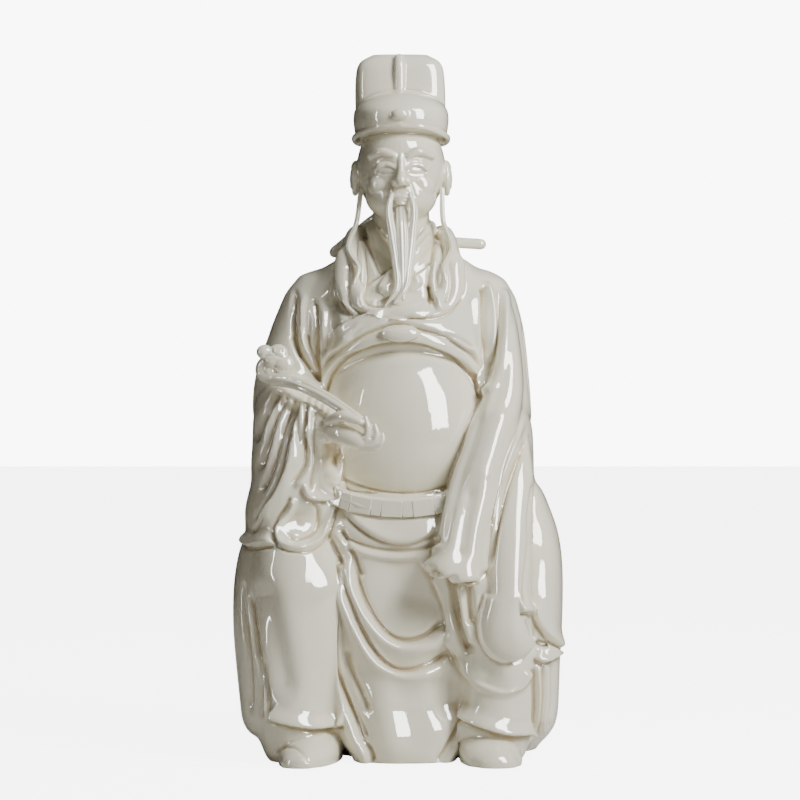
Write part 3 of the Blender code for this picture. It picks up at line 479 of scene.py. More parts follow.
LEFT_SLEEVE_FOLDS = (
    Fold("groove", 3.0, 1.6, ((-60.4, 179), (-66, 171), (-70.4, 162), (-72.9, 153)), SHARP_START),
    Fold("groove", 3.0, 1.6, ((-56, 178), (-62.6, 166), (-67, 152), (-71, 138.4)), SHARP_START),
    Fold("groove", 3.0, 1.6, ((-52.6, 177), (-57, 165), (-61, 150.9), (-65.6, 138.4), (-71, 127)),
         SHARP_START),
    Fold("edge", 3.4, 1.0, ((-49, 175), (-53.7, 158), (-56.3, 145), (-60, 133.3), (-67, 121.8),
         (-73, 112.9)), SHARP_START, 5),
    Fold("groove", 2.0, 0.9, ((-67, 118), (-71, 112), (-74, 108))),
    Fold("edge", 3.0, 0.9, ((-45.4, 172), (-45.8, 160), (-46, 150), (-46.6, 142), (-50, 136.4), (-54, 131)),
         SHARP_START, 5),
    Fold("groove", 2.4, 1.0, ((-42.6, 169), (-43, 156), (-43.4, 143.6), (-44.6, 134), (-46, 128)),
         SHARP_START),
    Fold("groove", 1.8, 0.8, ((-50, 172), (-50.6, 162), (-51, 152))),
    Fold("pit", 11, 3.6, ((-34.6, 155), (-34.6, 146), (-35.2, 136)), LONG_END),
    Fold("ridge", 1.6, 1.0, ((-40.4, 152), (-40.4, 142), (-39.2, 133), (-35.6, 129.3), (-31.6, 133),
         (-30, 144), (-29.2, 157)), SHARP_ENDS),
    Fold("edge", 3.4, 0.8, ((-49, 133.3), (-47.6, 127.2), (-43, 125), (-35.2, 125.4), (-30.6, 132)),
         FADED, 4),
    Fold("edge", 3.2, 0.8, ((-54, 126), (-56, 121), (-60, 115.5), (-62.3, 109), (-60.4, 103), (-55, 100.4),
         (-48, 100), (-41.4, 102.6), (-36.8, 108), (-33.3, 119), (-31.5, 127)), SHARP_ENDS, 2.6),
    Fold("groove", 2.0, 0.9, ((-44.6, 125), (-41.4, 121.5), (-40.8, 115), (-43.5, 108.5), (-51.8, 105.8),
         (-58.4, 108.5))),
    Fold("groove", 1.6, 0.7, ((-45.4, 178), (-46.6, 174.6), (-48.4, 172.4))),
    Fold("groove", 1.6, 0.7, ((-42.2, 176.4), (-43, 173), (-44.6, 170.4))),
    Fold("groove", 1.6, 0.7, ((-39.2, 174.2), (-39.8, 171), (-41.4, 168.4))),
    Fold("groove", 1.4, 0.7, ((-36.4, 172), (-37, 169.4), (-38.6, 167))),
    Fold("edge", 3.6, 1.0, ((-79.5, 110), (-78, 103.4), (-74, 101.6), (-68, 102.6), (-62, 103)), FADED, 5),
)
RIGHT_SLEEVE_FOLDS = (
    Fold("ridge", 1.3, 1.5, ((50, 224), (50.5, 204), (47.2, 186), (42, 174), (37, 163.5), (33, 151),
         (28.2, 138), (23.7, 121), (20.8, 108), (18.8, 99)), (0.14, 0.2)),
    Fold("groove", 0.8, 2.2, ((45, 178), (40, 166), (36, 153), (31.4, 139), (27, 122), (24, 108),
         (22, 97))),
    Fold("ridge", 3.0, 1.8, ((63, 168), (57.5, 155), (53.5, 145), (49, 132.5), (45.5, 120), (42.5, 105),
         (41, 94), (41.5, 86)), (0.14, 0.1)),
    Fold("groove", 2.8, 1.2, ((64, 158), (58.5, 144), (53.5, 131), (50, 119), (46.6, 104), (44.6, 90))),
    Fold("groove", 2.0, 1.2, ((67.5, 136), (66, 125), (65, 115), (65, 102), (63.5, 90), (62, 77.5),
         (60.5, 69))),
    Fold("edge", 3.6, 0.8, ((14, 88.5), (17, 91), (21, 88.8), (25, 86), (30, 83.8), (35, 84.2), (40, 83.6)),
         (0.10, 0.10), 6),
    Fold("edge", 2.0, 0.8, ((42, 79), (41.5, 75), (39.2, 67.5), (38.6, 60), (40, 53.5), (44, 47.5),
         (48.5, 44.6), (52, 43.8), (57, 44.8), (61, 47), (65, 51), (68.5, 55.5)), (0.08, 0.04), 7),
    Fold("ridge", 2.4, 2.0, ((17.5, 87), (20.5, 80), (24, 71), (25.6, 61), (27.4, 51), (31.4, 42), (37, 35),
         (44, 30.5), (52, 29), (60, 32), (65, 40)), SHARP_ENDS),
    Fold("pit", 5.0, 2.6, ((25, 88), (27.4, 79), (29.4, 67), (32, 57), (36.4, 48)), SHARP_START),
    Fold("pit", 3.0, 2.0, ((34, 84), (35, 73), (36, 62)), SHARP_START),
    Fold("ridge", 2.8, 1.2, ((28.6, 85), (31, 74), (33, 62), (37, 51))),
    Fold("edge", 3.6, 0.8, ((60, 69), (63.5, 69), (66.5, 67), (68.6, 63.5), (71.5, 59), (75.5, 54.6),
         (80.5, 51)), SHARP_ENDS, 6),
    Fold("pit", 3.6, 1.7, ((68.6, 54.6), (71, 52.8), (73.8, 53.2)), SHARP_ENDS),
    Fold("edge", 3.4, 0.8, ((67.5, 46), (71, 44), (75, 44.8), (80.5, 49)), SHARP_ENDS, 4),
    Fold("groove", 2.0, 1.0, ((63, 66), (66, 60), (66.5, 54))),
)
LAP_FOLDS = (
    Fold("edge", 2.4, 1.0, ((-29, 121), (-22, 113.5), (-14, 107.5), (-5, 104), (4, 103.4), (12, 106),
         (20, 111)), FADED, 5),
    Fold("groove", 2.0, 1.2, swag((-31, 113), (2, 99.6), (20, 108))),
    Fold("ridge", 1.8, 1.4, swag((-32, 110), (0, 96.4), (20, 104))),
    Fold("groove", 2.6, 1.1, ((-24.5, 101.5), (-22, 95), (-18.5, 86))),
    Fold("groove", 2.6, 1.1, ((-36.5, 110), (-33.5, 103), (-28, 91))),
    Fold("groove", 2.2, 1.0, ((-30, 112), (-27, 104), (-24, 98))),
    Fold("roll", 6.0, 1.5, ((22, 64.5), (18, 60.6), (13, 56.8), (6, 54.6), (-1, 55.2), (-7.5, 59.7),
         (-14.4, 68.6), (-18.6, 77), (-21.2, 85), (-25.4, 100)), QUICK_START, 9),
    Fold("roll", 5.0, 1.5, ((24, 50.5), (19, 46.4), (13, 42.5), (6, 40), (-2, 40.5), (-9, 45.2),
         (-15, 53.5), (-20.4, 65), (-25, 78), (-29, 92)), QUICK_START, 9),
    Fold("groove", 2.0, 1.8, ((-27, 52), (-24, 40), (-19, 28), (-15, 18))),
    Fold("groove", 2.4, 1.8, ((-31, 40), (-26, 27), (-20, 14), (-16, 4))),
    Fold("edge", 4.4, 1.0, ((-14, -6), (-16, 0), (-20, 6), (-23, 14), (-27, 24), (-31, 36), (-33.2, 46),
         (-34.4, 60), (-34.2, 75), (-33, 88), (-31, 99)), SHARP_START, 7),
    Fold("ridge", 1.6, 1.3, ((-17, 2), (-20, 12), (-24.4, 24), (-29, 38), (-31, 54), (-31, 74)),
         SHARP_START),
    Fold("edge", 3.6, 1.0, ((32, 18), (28, 8), (24, 0), (20, -6)), SHARP_END, 5),
)
HEM_FOLDS = (
    Fold("edge", 4.6, 0.8, ((-66, 17), (-62, 14.6), (-57.5, 13.2), (-50, 11.6), (-41, 11), (-32.5, 12.4),
         (-26, 13)), SHARP_ENDS, 5),
    Fold("edge", 4.6, 0.8, ((29.5, 16.5), (32.5, 15.6), (37.5, 13), (42.5, 11), (50, 8.5), (57.5, 7.5),
         (67, 8)), SHARP_ENDS, 5),
    Fold("groove", 2.6, 1.3, ((-78, 86), (-78.6, 72), (-76.6, 55), (-75, 36), (-74.5, 16))),
    Fold("groove", 2.6, 1.2, ((-75, 80), (-72, 58), (-69.5, 36), (-69, 14))),
    Fold("groove", 2.2, 1.0, ((-69, 46), (-66, 26), (-65, 13))),
    Fold("ridge", 1.6, 1.2, ((-72, 50), (-69, 32), (-67, 16))),
    Fold("groove", 2.6, 1.2, ((67, 42), (67.4, 24), (67, 10))),
    Fold("groove", 2.4, 1.0, ((71.5, 44), (72, 24), (69, 4))),
    Fold("ridge", 1.6, 1.2, ((69, 44), (69.6, 26), (68.4, 10))),
    Fold("groove", 2.0, 1.1, ((76.5, 46), (77, 26), (74, 8))),
    Fold("groove", 1.0, 0.6, ((-62, -2), (-58.5, 1.2), (-54, 1.4), (-49.5, -1), (-45.5, -6)), SHARP_ENDS),
)
COLLAR_FOLDS = (
    Fold("edge", 2.4, 0.7, ((-5, 221), (-13, 220.8), (-17.4, 222.6), (-18.6, 228), (-17.4, 238), (-18, 250),
         (-18.4, 258)), FADED, 4),
    Fold("edge", 2.6, 0.8, ((-26.5, 255), (-30.5, 246), (-31.6, 240), (-31, 233), (-29.5, 226.5),
         (-26.6, 221), (-22, 217)), FADED, 4),
    Fold("groove", 1.6, 0.8, ((-25.4, 246), (-26, 236), (-25.3, 226), (-22.5, 220.4), (-17, 217.4))),
    Fold("groove", 1.2, 1.2, ((-34.5, 240), (-33.4, 228), (-29.6, 219.6), (-22.5, 215))),
    Fold("edge", 2.6, 0.7, ((18.5, 256), (17, 247.5), (15.5, 240), (15, 232.5), (16, 228), (18, 223.5),
         (16.5, 220)), FADED, 4),
    Fold("pit", 3.0, 1.2, ((14, 233), (14.6, 227), (14.6, 222))),
    Fold("edge", 2.6, 0.8, ((-4, 217.6), (7.5, 216.6), (15, 216), (20.5, 217.6), (26, 221), (30, 227),
         (31, 235), (30.5, 244), (28.5, 252)), FADED, 4),
    Fold("groove", 1.4, 0.9, ((24, 246), (25.4, 236), (24.6, 227), (20, 221.6))),
    Fold("edge", 1.8, 0.7, ((-10.5, 236), (-14, 245), (-18, 255)), FADED, 4),
    Fold("edge", 1.8, 0.7, ((-2.3, 241.1), (-9, 236.8), (-16.9, 231)), FADED, 4),
    Fold("edge", 1.6, 0.7, ((-14.3, 222), (-9, 225.6), (-3.8, 228.4)), FADED, 3),
    Fold("edge", 1.6, 0.7, ((14.3, 258.8), (10.5, 254), (6.8, 250.1)), FADED, 3),
    Fold("edge", 1.8, 0.7, ((17.6, 244.9), (11, 239.6), (5.6, 235.9)), FADED, 4),
)
BELT_FOLDS = (
    Fold("edge", 1.8, 0.7, ((-34, 128), (-28, 124.4), (-18, 120.4), (-6, 118.2), (4, 117.4), (14, 118.4),
         (21, 121)), SHARP_ENDS, 3),
    Fold("edge", 1.8, 0.7, ((24, 131), (14, 128.4), (3, 127.6), (-8, 128.4), (-19, 131), (-30, 135)),
         SHARP_ENDS, 3),
)
FINE_FOLDS = (
    BREAST_FOLDS + SHOULDER_FOLDS + LEFT_SLEEVE_FOLDS + RIGHT_SLEEVE_FOLDS + LAP_FOLDS + HEM_FOLDS
    + COLLAR_FOLDS + BELT_FOLDS
)

# Folds of the back: one down the middle, and fans on either side that spread from the shoulders past the
# waist to the hem, with two swags under the collar, each with its height and depth.
BACK_FANS = 3
BACK_FOLD_DEPTH = 2.2
BACK_FOLD_WIDTH = 3.0
BACK_MIDDLE = ((0, 205), (1, 120), (0, 10))
FAN_SPREADS = (11, 14, 20)
FAN_HEIGHTS = (222, 130, 8)
FAN_DROP = 6
BACK_SWAGS = ((236, 1.6), (226, 1.2))
BACK_SWAG_REACH = 30
BACK_SWAG_SAG = 22

# Folds of the two sides, as seen from the side. Those of the skirt: place at the knee and at the hem of
# each, how much closer they are at the hip, and the heights of hip, knee and hem. Then the sleeve's own.
SKIRT_FOLD_PLACES = ((-8, -10), (12, 12), (32, 34), (48, 50))
HIP_CLOSENESS = 0.6
HIP_HEIGHT, KNEE_HEIGHT, HEM_HEIGHT = 118, 70, 8
SIDE_FOLD_DEPTH = 1.8
SIDE_FOLD_WIDTH = 2.4
SLEEVE_SIDE_FOLDS = (
    Fold("groove", 1.8, 2.4, ((2, 215), (-4, 190), (-10, 165))),
    Fold("groove", 1.6, 2.4, ((16, 210), (14, 180), (6, 150), (-10, 130))),
)

# Carving of the face, drawn for the half that lies towards +X from the nose line.
NOSE_LINE = 0.5
FACE_FOLDS = (
    Fold("edge", 0.8, 0.5, ((3.6, 290.2), (5.5, 291.6), (8.5, 292), (11.4, 291), (13.6, 289)),
         SHARP_ENDS, 2),
    Fold("groove", 0.6, 0.5, ((3.4, 292.6), (6, 294.2), (9, 294.6), (12, 293.6), (14.6, 291.4))),
    Fold("groove", 0.5, 0.5, ((4.4, 288.8), (8, 287.8), (12, 288.4))),
    Fold("groove", 0.5, 0.8, ((4.4, 284.4), (6.6, 280), (7.4, 276))),
    Fold("groove", 0.7, 0.5, ((2.2, 284), (3.8, 282.6), (4.4, 280.6))),
)
MOUTH_LINE = Fold(
    "groove", 0.8, 0.45, ((-5.4, 274.4), (-2, 273.9), (0.5, 274.1), (3, 273.9), (6.4, 274.4)), SHARP_ENDS
)
EAR_FOLDS = (
    Fold("groove", 1.1, 0.8, arc((2.5, 287), (3.4, 5.6), 60, 330)),
    Fold("groove", 0.7, 0.7, arc((2.2, 287.5), (1.4, 3.0), 40, 260)),
)


def through(rows, count):
    """A smooth curve through the given rows, sampled evenly."""
    rows = np.asarray(rows, float)
    padded = np.vstack([2 * rows[0] - rows[1], rows, 2 * rows[-1] - rows[-2]])
    at = np.linspace(0, len(rows) - 1, count)
    start = np.minimum(at.astype(int), len(rows) - 2)
    t = (at - start)[:, None]
    a, b, c, d = (padded[start + step] for step in range(4))
    return 0.5 * (2 * b + (c - a) * t + (2 * a - 5 * b + 4 * c - d) * t**2 + (3 * b - 3 * c + d - a) * t**3)


def skin(clay, rings):
    """Faces between neighbouring rings, with the first and last ring closed."""
    loops = [[clay.verts.new(point) for point in ring] for ring in rings]
    sides = len(loops[0])
    for lower, upper in zip(loops, loops[1:]):
        for side in range(sides):
            after = (side + 1) % sides
            clay.faces.new((lower[side], lower[after], upper[after], upper[side]))
    clay.faces.new(loops[0])
    clay.faces.new(loops[-1])


def stack(clay, sections):
    """A body of level sections, each a rounded oblong between its left, right, front and back."""
    turn = np.linspace(0, 2 * math.pi, STACK_SIDES, endpoint=False)
    rings = []
    for height, left, right, front, back, squareness in through(sections, STACK_RINGS):
        across = np.sign(np.cos(turn)) * np.abs(np.cos(turn)) ** (2 / squareness)
        deep = np.sign(np.sin(turn)) * np.abs(np.sin(turn)) ** (2 / squareness)
        x = (left + right) / 2 + (right - left) / 2 * across
        y = (front + back) / 2 + (back - front) / 2 * deep
        rings.append(np.stack([x, y, np.full(STACK_SIDES, height)], axis=1))
    skin(clay, rings)


def unit(vectors):
    """The vectors at a length of one."""
    return vectors / np.linalg.norm(vectors, axis=-1, keepdims=True)


def outwards(spine):
    """The level way out from the body's axis at each point of a spine."""
    level = np.zeros_like(spine)
    level[:, :2] = spine[:, :2] - BODY_AXIS
    return unit(level)


def limb(clay, rows, facing=BACKWARDS, slices=LIMB_RINGS, sides=LIMB_SIDES, hairs=0):
    """A limb with round ends along a path whose rows give its centre, half width and half depth."""
    path = through(rows, slices)
    spine, sizes = path[:, :3], path[:, 3:]
    along = unit(np.gradient(spine, axis=0))
    across = unit(np.cross(along, outwards(spine) if facing == "outwards" else facing))
    deep = np.cross(across, along)
    turn = np.linspace(0, 2 * math.pi, sides, endpoint=False)[:, None]
    furrows = np.abs(np.cos(turn * hairs / 2)) ** HAIR_NARROWNESS
    swell = 1 - HAIR_DEPTH * furrows if hairs else np.ones_like(turn)
    stations = [(0, -bow) for bow in reversed(END_ANGLES)]
    stations += [(station, 0) for station in range(slices)]
    stations += [(slices - 1, bow) for bow in END_ANGLES]
    rings = []
    for station, bow in stations:
        half_width, half_depth = sizes[station] * math.cos(bow)
        centre = spine[station] + along[station] * sizes[station].min() * math.sin(bow)
        round_it = np.cos(turn) * across[station] * half_width + np.sin(turn) * deep[station] * half_depth
        rings.append(centre + swell * round_it)
    skin(clay, rings)


def ball(clay, form, tilt=0):
    """An ellipsoid from its centre and half sizes, tipped about the X axis by so many degrees."""
    place = Matrix.Translation(form[:3]) @ Matrix.Rotation(math.radians(tilt), 4, "X")
    place = place @ Matrix.Diagonal((*form[3:], 1))
    bmesh.ops.create_uvsphere(clay, u_segments=BALL_SIDES, v_segments=BALL_RINGS, radius=1, matrix=place)


def smoothstep(low, high, value):
    """A share that rises smoothly from 0 at the low value to 1 at the high one."""
    share = np.clip((value - low) / (high - low), 0, 1)
    return share * share * (3 - 2 * share)


def nearest_on(stroke, places):
    """For each place: its signed distance from the stroke (left is positive), how far along it lies,
    and the stroke's left-hand direction there."""
    drawn_length = np.linalg.norm(np.diff(stroke, axis=0), axis=1).sum()
    line = through(stroke, max(FEWEST_SAMPLES, int(drawn_length / STROKE_STEP)))
    starts, runs = line[:-1], np.diff(line, axis=0)
    offsets = places[:, None] - starts
    share = np.clip((offsets * runs).sum(-1) / (runs**2).sum(-1), 0, 1)
    gaps = offsets - share[..., None] * runs
    lengths = np.linalg.norm(gaps, axis=-1)
    nearest = lengths.argmin(axis=1)
    rows = np.arange(len(places))
    gap, run = gaps[rows, nearest], unit(runs[nearest])
    leftwards = np.stack([-run[:, 1], run[:, 0]], axis=1)
    side = np.where((gap * leftwards).sum(1) >= 0, 1.0, -1.0)
    along = (nearest + share[rows, nearest]) / len(runs)
    return lengths[rows, nearest] * side, along, leftwards


def fold_lift(fold, places):
    """How far a fold lifts the cloth at each place, and how far it draws it sideways."""
    signed, along, leftwards = nearest_on(fold.stroke, places)
    strength = np.full(len(places), float(fold.depth))
    if fold.fades:
        strength *= smoothstep(0, fold.fades[0], along) * smoothstep(0, fold.fades[1], 1 - along)
    if fold.kind == "edge":
        lip = smoothstep(-EDGE_START * fold.width, fold.width, signed)
        raised = lip * np.exp(-((np.maximum(signed, 0) / fold.reach) ** 2))
        undercut = np.exp(-(((signed + fold.width) / fold.width) ** 2))
        overhang = np.exp(-((signed / (OVERHANG_WIDTH * fold.width)) ** 2))
        drawn = -EDGE_OVERHANG * strength * lip * overhang
        return strength * (raised - EDGE_UNDERCUT * undercut), drawn[:, None] * leftwards
    if fold.kind == "roll":
        past = np.maximum(signed, 0) / (ROLL_CREST * fold.reach)
        crease = np.exp(-((signed / fold.width) ** 2))
        return strength * (past * np.exp(1 - past) - ROLL_CREASE * crease), np.zeros_like(leftwards)
    steepness = PIT_STEEPNESS if fold.kind == "pit" else BUMP_STEEPNESS
    bump = np.exp(-(np.abs(signed / fold.width) ** steepness))
    return strength * (bump if fold.kind == "ridge" else -bump), np.zeros_like(leftwards)


def read_vectors(collection, name):
    """A per-element vector of a mesh as an array of rows."""
    values = np.empty(3 * len(collection), np.float32)
    collection.foreach_get(name, values)
    return values.reshape(-1, 3).astype(float)


def carve(mesh, folds, across=0, towards=1, sign=-1):
    """Press the folds into the side of the mesh that faces the named way."""
    points = read_vectors(mesh.vertices, "co")
    normals = read_vectors(mesh.vertex_normals, "vector")
    nearer = VIEW_DISTANCE / (VIEW_DISTANCE - sign * points[:, towards])
    places = np.stack([points[:, across] * nearer, EYE_HEIGHT + (points[:, 2] - EYE_HEIGHT) * nearer], 1)
    facing = smoothstep(*FACING_RANGE, sign * normals[:, towards])
    for fold in folds:
        lifted = fold.kind in ("edge", "roll")
        reach = LIFTED_REACH * fold.reach if lifted else FOLD_REACH * fold.width
        low = np.min(fold.stroke, axis=0) - reach
        high = np.max(fold.stroke, axis=0) + reach
        touched = np.flatnonzero(((places > low) & (places < high)).all(1) & (facing > 0))
        if len(touched):
            lift, drawn = fold_lift(fold, places[touched])
            held = facing[touched, None]
            way = np.eye(3)[towards] * sign if fold.kind == "pit" else normals[touched]
            points[touched] += way * lift[:, None] * held
            points[touched, across] += drawn[:, 0] * held[:, 0]
            points[touched, 2] += drawn[:, 1] * held[:, 0]
    mesh.vertices.foreach_set("co", points.ravel())
    mesh.update()


def back_folds():
    """Long folds that fan from between the shoulders to the hem behind, the same on both halves."""
    folds = [Fold("groove", BACK_FOLD_DEPTH, BACK_FOLD_WIDTH, BACK_MIDDLE)]
    for fan in range(1, BACK_FANS + 1):
        for side in (-1, 1):
            drops = (FAN_DROP * fan, 0, 0)
            stroke = [
                (side * spread * fan, height - drop)
                for spread, height, drop in zip(FAN_SPREADS, FAN_HEIGHTS, drops)
            ]
            folds.append(Fold("groove", BACK_FOLD_DEPTH, BACK_FOLD_WIDTH, stroke))
    for rise, depth in BACK_SWAGS:
        stroke = swag((-BACK_SWAG_REACH, rise), (0, rise - BACK_SWAG_SAG), (BACK_SWAG_REACH, rise))
        folds.append(Fold("groove", depth, BACK_FOLD_WIDTH, stroke))
    return folds


def side_folds():
    """Folds that drop from the hip to the hem, and down the sleeve, on either side."""
    folds = []
    for knee, hem in SKIRT_FOLD_PLACES:
        stroke = ((knee * HIP_CLOSENESS, HIP_HEIGHT), (knee, KNEE_HEIGHT), (hem, HEM_HEIGHT))
        folds.append(Fold("groove", SIDE_FOLD_DEPTH, SIDE_FOLD_WIDTH, stroke))
    return [*folds, *SLEEVE_SIDE_FOLDS]


def face_folds():
    """The face's carving on both sides of the nose line, and the line of the mouth."""
    folds = [MOUTH_LINE]
    for fold in FACE_FOLDS:
        mirrored = np.asarray(fold.stroke) * (-1, 1) + (2 * NOSE_LINE, 0)
        folds.append(fold)
        folds.append(fold._replace(stroke=mirrored[::-1]))
    return folds


def evaluated(obj):
    """The object's mesh with its modifiers carried out."""
    return bpy.data.meshes.new_from_object(obj.evaluated_get(bpy.context.evaluated_depsgraph_get()))


def reworked(mesh, modifiers):
    """The mesh after the named modifiers, each with its settings."""
    lump = bpy.data.objects.new("clay", mesh)
    bpy.context.scene.collection.objects.link(lump)
    for kind, settings in modifiers:
        modifier = lump.modifiers.new(kind, kind)
        for name, value in settings.items():
            setattr(modifier, name, value)
    result = evaluated(lump)
    bpy.data.objects.remove(lump)
    return result


def softened(rounds):
    """A softening with this many rounds, as reworked takes it."""
    return "SMOOTH", {"factor": SOFTENING_FACTOR, "iterations": rounds}


def as_mesh(clay, name):
    """The clay as a mesh whose faces look outwards."""
    mesh = bpy.data.meshes.new(name)
    bmesh.ops.recalc_face_normals(clay, faces=clay.faces)
    clay.to_mesh(mesh)
    clay.free()
    return mesh


def fuse(clay, grain, softening):
    """One skin round everything in the clay, with its seams softened."""
    remesh = ("REMESH", {"mode": "VOXEL", "voxel_size": grain})
    return reworked(as_mesh(clay, "clay"), [remesh, softened(softening)])


def under_glaze(mesh, softening, triangles):
    """The carved mesh with its edges rounded as under a coat of glaze, its hollows noted for the pooled glaze
    and the painted shade, and thinned to no more than the given number of triangles."""
    coated = reworked(mesh, [softened(softening)])
    pool_glaze_and_shade(coated)
    now = sum(len(face.vertices) - 2 for face in coated.polygons)
    return reworked(coated, [("DECIMATE", {"ratio": min(1, triangles / now)})])


def cut_at_ground(mesh):
    """The mesh without what lies under the ground, closed again by a flat underside."""
    solid = bmesh.new()
    solid.from_mesh(mesh)
    everything = solid.verts[:] + solid.edges[:] + solid.faces[:]
    bmesh.ops.bisect_plane(solid, geom=everything, plane_co=(0, 0, 0), plane_no=(0, 0, 1), clear_inner=True)
    rim = [edge for edge in solid.edges if edge.is_boundary]
    bmesh.ops.triangle_fill(solid, edges=rim, use_beauty=True)
    bmesh.ops.recalc_face_normals(solid, faces=solid.faces)
    solid.to_mesh(mesh)
    solid.free()


def pool_glaze_and_shade(mesh):
    """Note at each point how deep in a hollow it lies, which is where the glaze gathers and where the colour
    is darkened as painted shade.
    """
    points = read_vectors(mesh.vertices, "co")
    ends = np.empty(2 * len(mesh.edges), np.int32)
    mesh.edges.foreach_get("vertices", ends)
    one, other = ends.reshape(-1, 2).T
    count = len(points)
    neighbours = np.bincount(ends, minlength=count)
    evened = points.copy()
    for _ in range(POOL_SHADE_ROUNDS):
        for axis in range(3):
            sums = np.bincount(one, evened[other, axis], count) + np.bincount(other, evened[one, axis], count)
            evened[:, axis] = sums / neighbours
    depth = ((evened - points) * read_vectors(mesh.vertex_normals, "vector")).sum(1)
    pool_shade = mesh.attributes.new(POOL_SHADE, "FLOAT", "POINT")
    pool_shade.data.foreach_set("value", depth.astype(np.float32))


def fired(name, mesh):
    """A finished piece: smooth, glazed, in its place in the frame, riding on the one body."""
    mesh.transform(PLACE)
    mesh.shade_smooth()
    mesh.materials.clear()
    mesh.materials.append(glazed_porcelain())
    piece = bpy.data.objects.new(name, mesh)
    bpy.context.scene.collection.objects.link(piece)
    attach(piece, "root")
    return piece


# The glaze. The attribute that notes how deep in a hollow each point lies, the depths in units between which
# the glaze gathers and darkens, how far it then takes the pooled colour, and how widely the hollows are felt
# for. The pooled colour is darker: partly the warmer tone of glaze that gathers there, and partly painted
# shade in the hollows. Sizes of its mottle and of its ripples and the ripples' height, in millimetres, and
# how strongly they show. Then what the surface's other sockets say.
POOL_SHADE = "glaze_pool_and_shade"
POOL_SHADE_DEPTHS = (0.04, 0.80)
POOL_SHADE_STRENGTH = 0.6
POOL_SHADE_ROUNDS = 24
MOTTLE_SIZE = 38.0
RIPPLE_SIZE = 16.0
RIPPLE_HEIGHT = 0.22
RIPPLE_STRENGTH = 1.0
MILLIMETRES = 1000
GLAZE_SURFACE = {
    "IOR": 1.55,
    "Coat Weight": 0.7,
    "Coat Roughness": 0.02,
    "Coat IOR": 1.6,
    "Subsurface Weight": 0.12,
    "Subsurface Radius": (1.0, 0.75, 0.5),
    "Subsurface Scale": 0.003,
}


def linear(hex_colour):
    """A linear colour from an sRGB hex value."""
    shares = [int(hex_colour[at:at + 2], 16) / 255 for at in (1, 3, 5)]
    return (*(s / 12.92 if s <= 0.04045 else ((s + 0.055) / 1.055) ** 2.4 for s in shares), 1.0)


def add_node(tree, kind, settings=None, values=None, links=None):
    """One node with its settings, the values of its sockets and what feeds them."""
    made = tree.nodes.new(kind)
    for name, value in (settings or {}).items():
        setattr(made, name, value)
    for socket, value in (values or {}).items():
        made.inputs[socket].default_value = value
    for socket, source in (links or {}).items():
        tree.links.new(source, made.inputs[socket])
    return made


def glazed_porcelain():
    """Porcelain body under a clear glaze, dipped and fired: a deep, wet-looking ivory gloss that reflects the
    lights sharply. In the folds its colour turns a darker honey-warm, partly for the glaze that runs thick
    there and partly as painted shade in the hollows."""
    name = "dipped_ivory_glaze_on_porcelain"
    if name in bpy.data.materials:
        return bpy.data.materials[name]
    finish = bpy.context.scene.porcelain_figure
    material = bpy.data.materials.new(name)
    material.use_nodes = True
    tree = material.node_tree
    surface = tree.nodes["Principled BSDF"]
    place = add_node(tree, "ShaderNodeTexCoord")
    mottle = add_node(tree, "ShaderNodeTexNoise", values={"Scale": MILLIMETRES / MOTTLE_SIZE, "Detail": 2.0},
                      links={"Vector": place.outputs["Object"]})
    body = add_node(tree, "ShaderNodeMix", {"data_type": "RGBA"},
                    {"A": (*finish.glaze_colour, 1), "B": (*finish.cool_glaze_colour, 1)},
                    {"Factor": mottle.outputs["Fac"]})
    # The hollows' depth darkens the colour towards the pooled tone: partly gathered glaze, partly painted
    # shade.
    pool_shade = add_node(tree, "ShaderNodeAttribute", {"attribute_name": POOL_SHADE})
    pooled_shade_share = add_node(tree, "ShaderNodeMapRange", {"interpolation_type": "SMOOTHSTEP"},
                        {"From Min": POOL_SHADE_DEPTHS[0], "From Max": POOL_SHADE_DEPTHS[1], "To Max": POOL_SHADE_STRENGTH},
                        {"Value": pool_shade.outputs["Fac"]})
    colour = add_node(tree, "ShaderNodeMix", {"data_type": "RGBA"}, {"B": (*finish.pooled_glaze_and_shade_colour, 1)},
                      {"Factor": pooled_shade_share.outputs["Result"], "A": body.outputs["Result"]})
    ripple = add_node(tree, "ShaderNodeTexNoise", values={"Scale": MILLIMETRES / RIPPLE_SIZE, "Detail": 1.0},
                      links={"Vector": place.outputs["Object"]})
    waves = add_node(tree, "ShaderNodeBump",
                     values={"Strength": RIPPLE_STRENGTH, "Distance": RIPPLE_HEIGHT / MILLIMETRES},
                     links={"Height": ripple.outputs["Fac"]})
    tree.links.new(colour.outputs["Result"], surface.inputs["Base Color"])
    tree.links.new(waves.outputs["Normal"], surface.inputs["Normal"])
    surface.inputs["Roughness"].default_value = finish.glaze_roughness
    for socket, value in GLAZE_SURFACE.items():
        surface.inputs[socket].default_value = value
    return material


# Settings that a user would change.


class PorcelainFigureSettings(bpy.types.PropertyGroup):
    """Glaze and belt of the figure"""

    glaze_colour: FloatVectorProperty(
        name="Glaze", description="Ivory of the glazed body", subtype="COLOR", min=0, max=1,
        default=linear("#EDE7CF")[:3])
    cool_glaze_colour: FloatVectorProperty(
        name="Cool glaze", description="Cooler white where the glaze is thin", subtype="COLOR", min=0, max=1,
        default=linear("#E8E6D6")[:3])
    # The pooled colour darkens the hollows: partly the warm tone of gathered glaze, partly painted shade.
    pooled_glaze_and_shade_colour: FloatVectorProperty(
        name="Pooled glaze and shade", description="Warm tone where the glaze gathers in hollows", subtype="COLOR",
        min=0, max=1, default=linear("#AD9361")[:3])
    glaze_roughness: FloatProperty(
        name="Glaze roughness", description="How blurred the reflections are", subtype="FACTOR", min=0, max=1,
        default=0.06)
    plaques: IntProperty(name="Belt plaques", description="How many plaques the belt carries", min=2, max=15,
                         default=9)


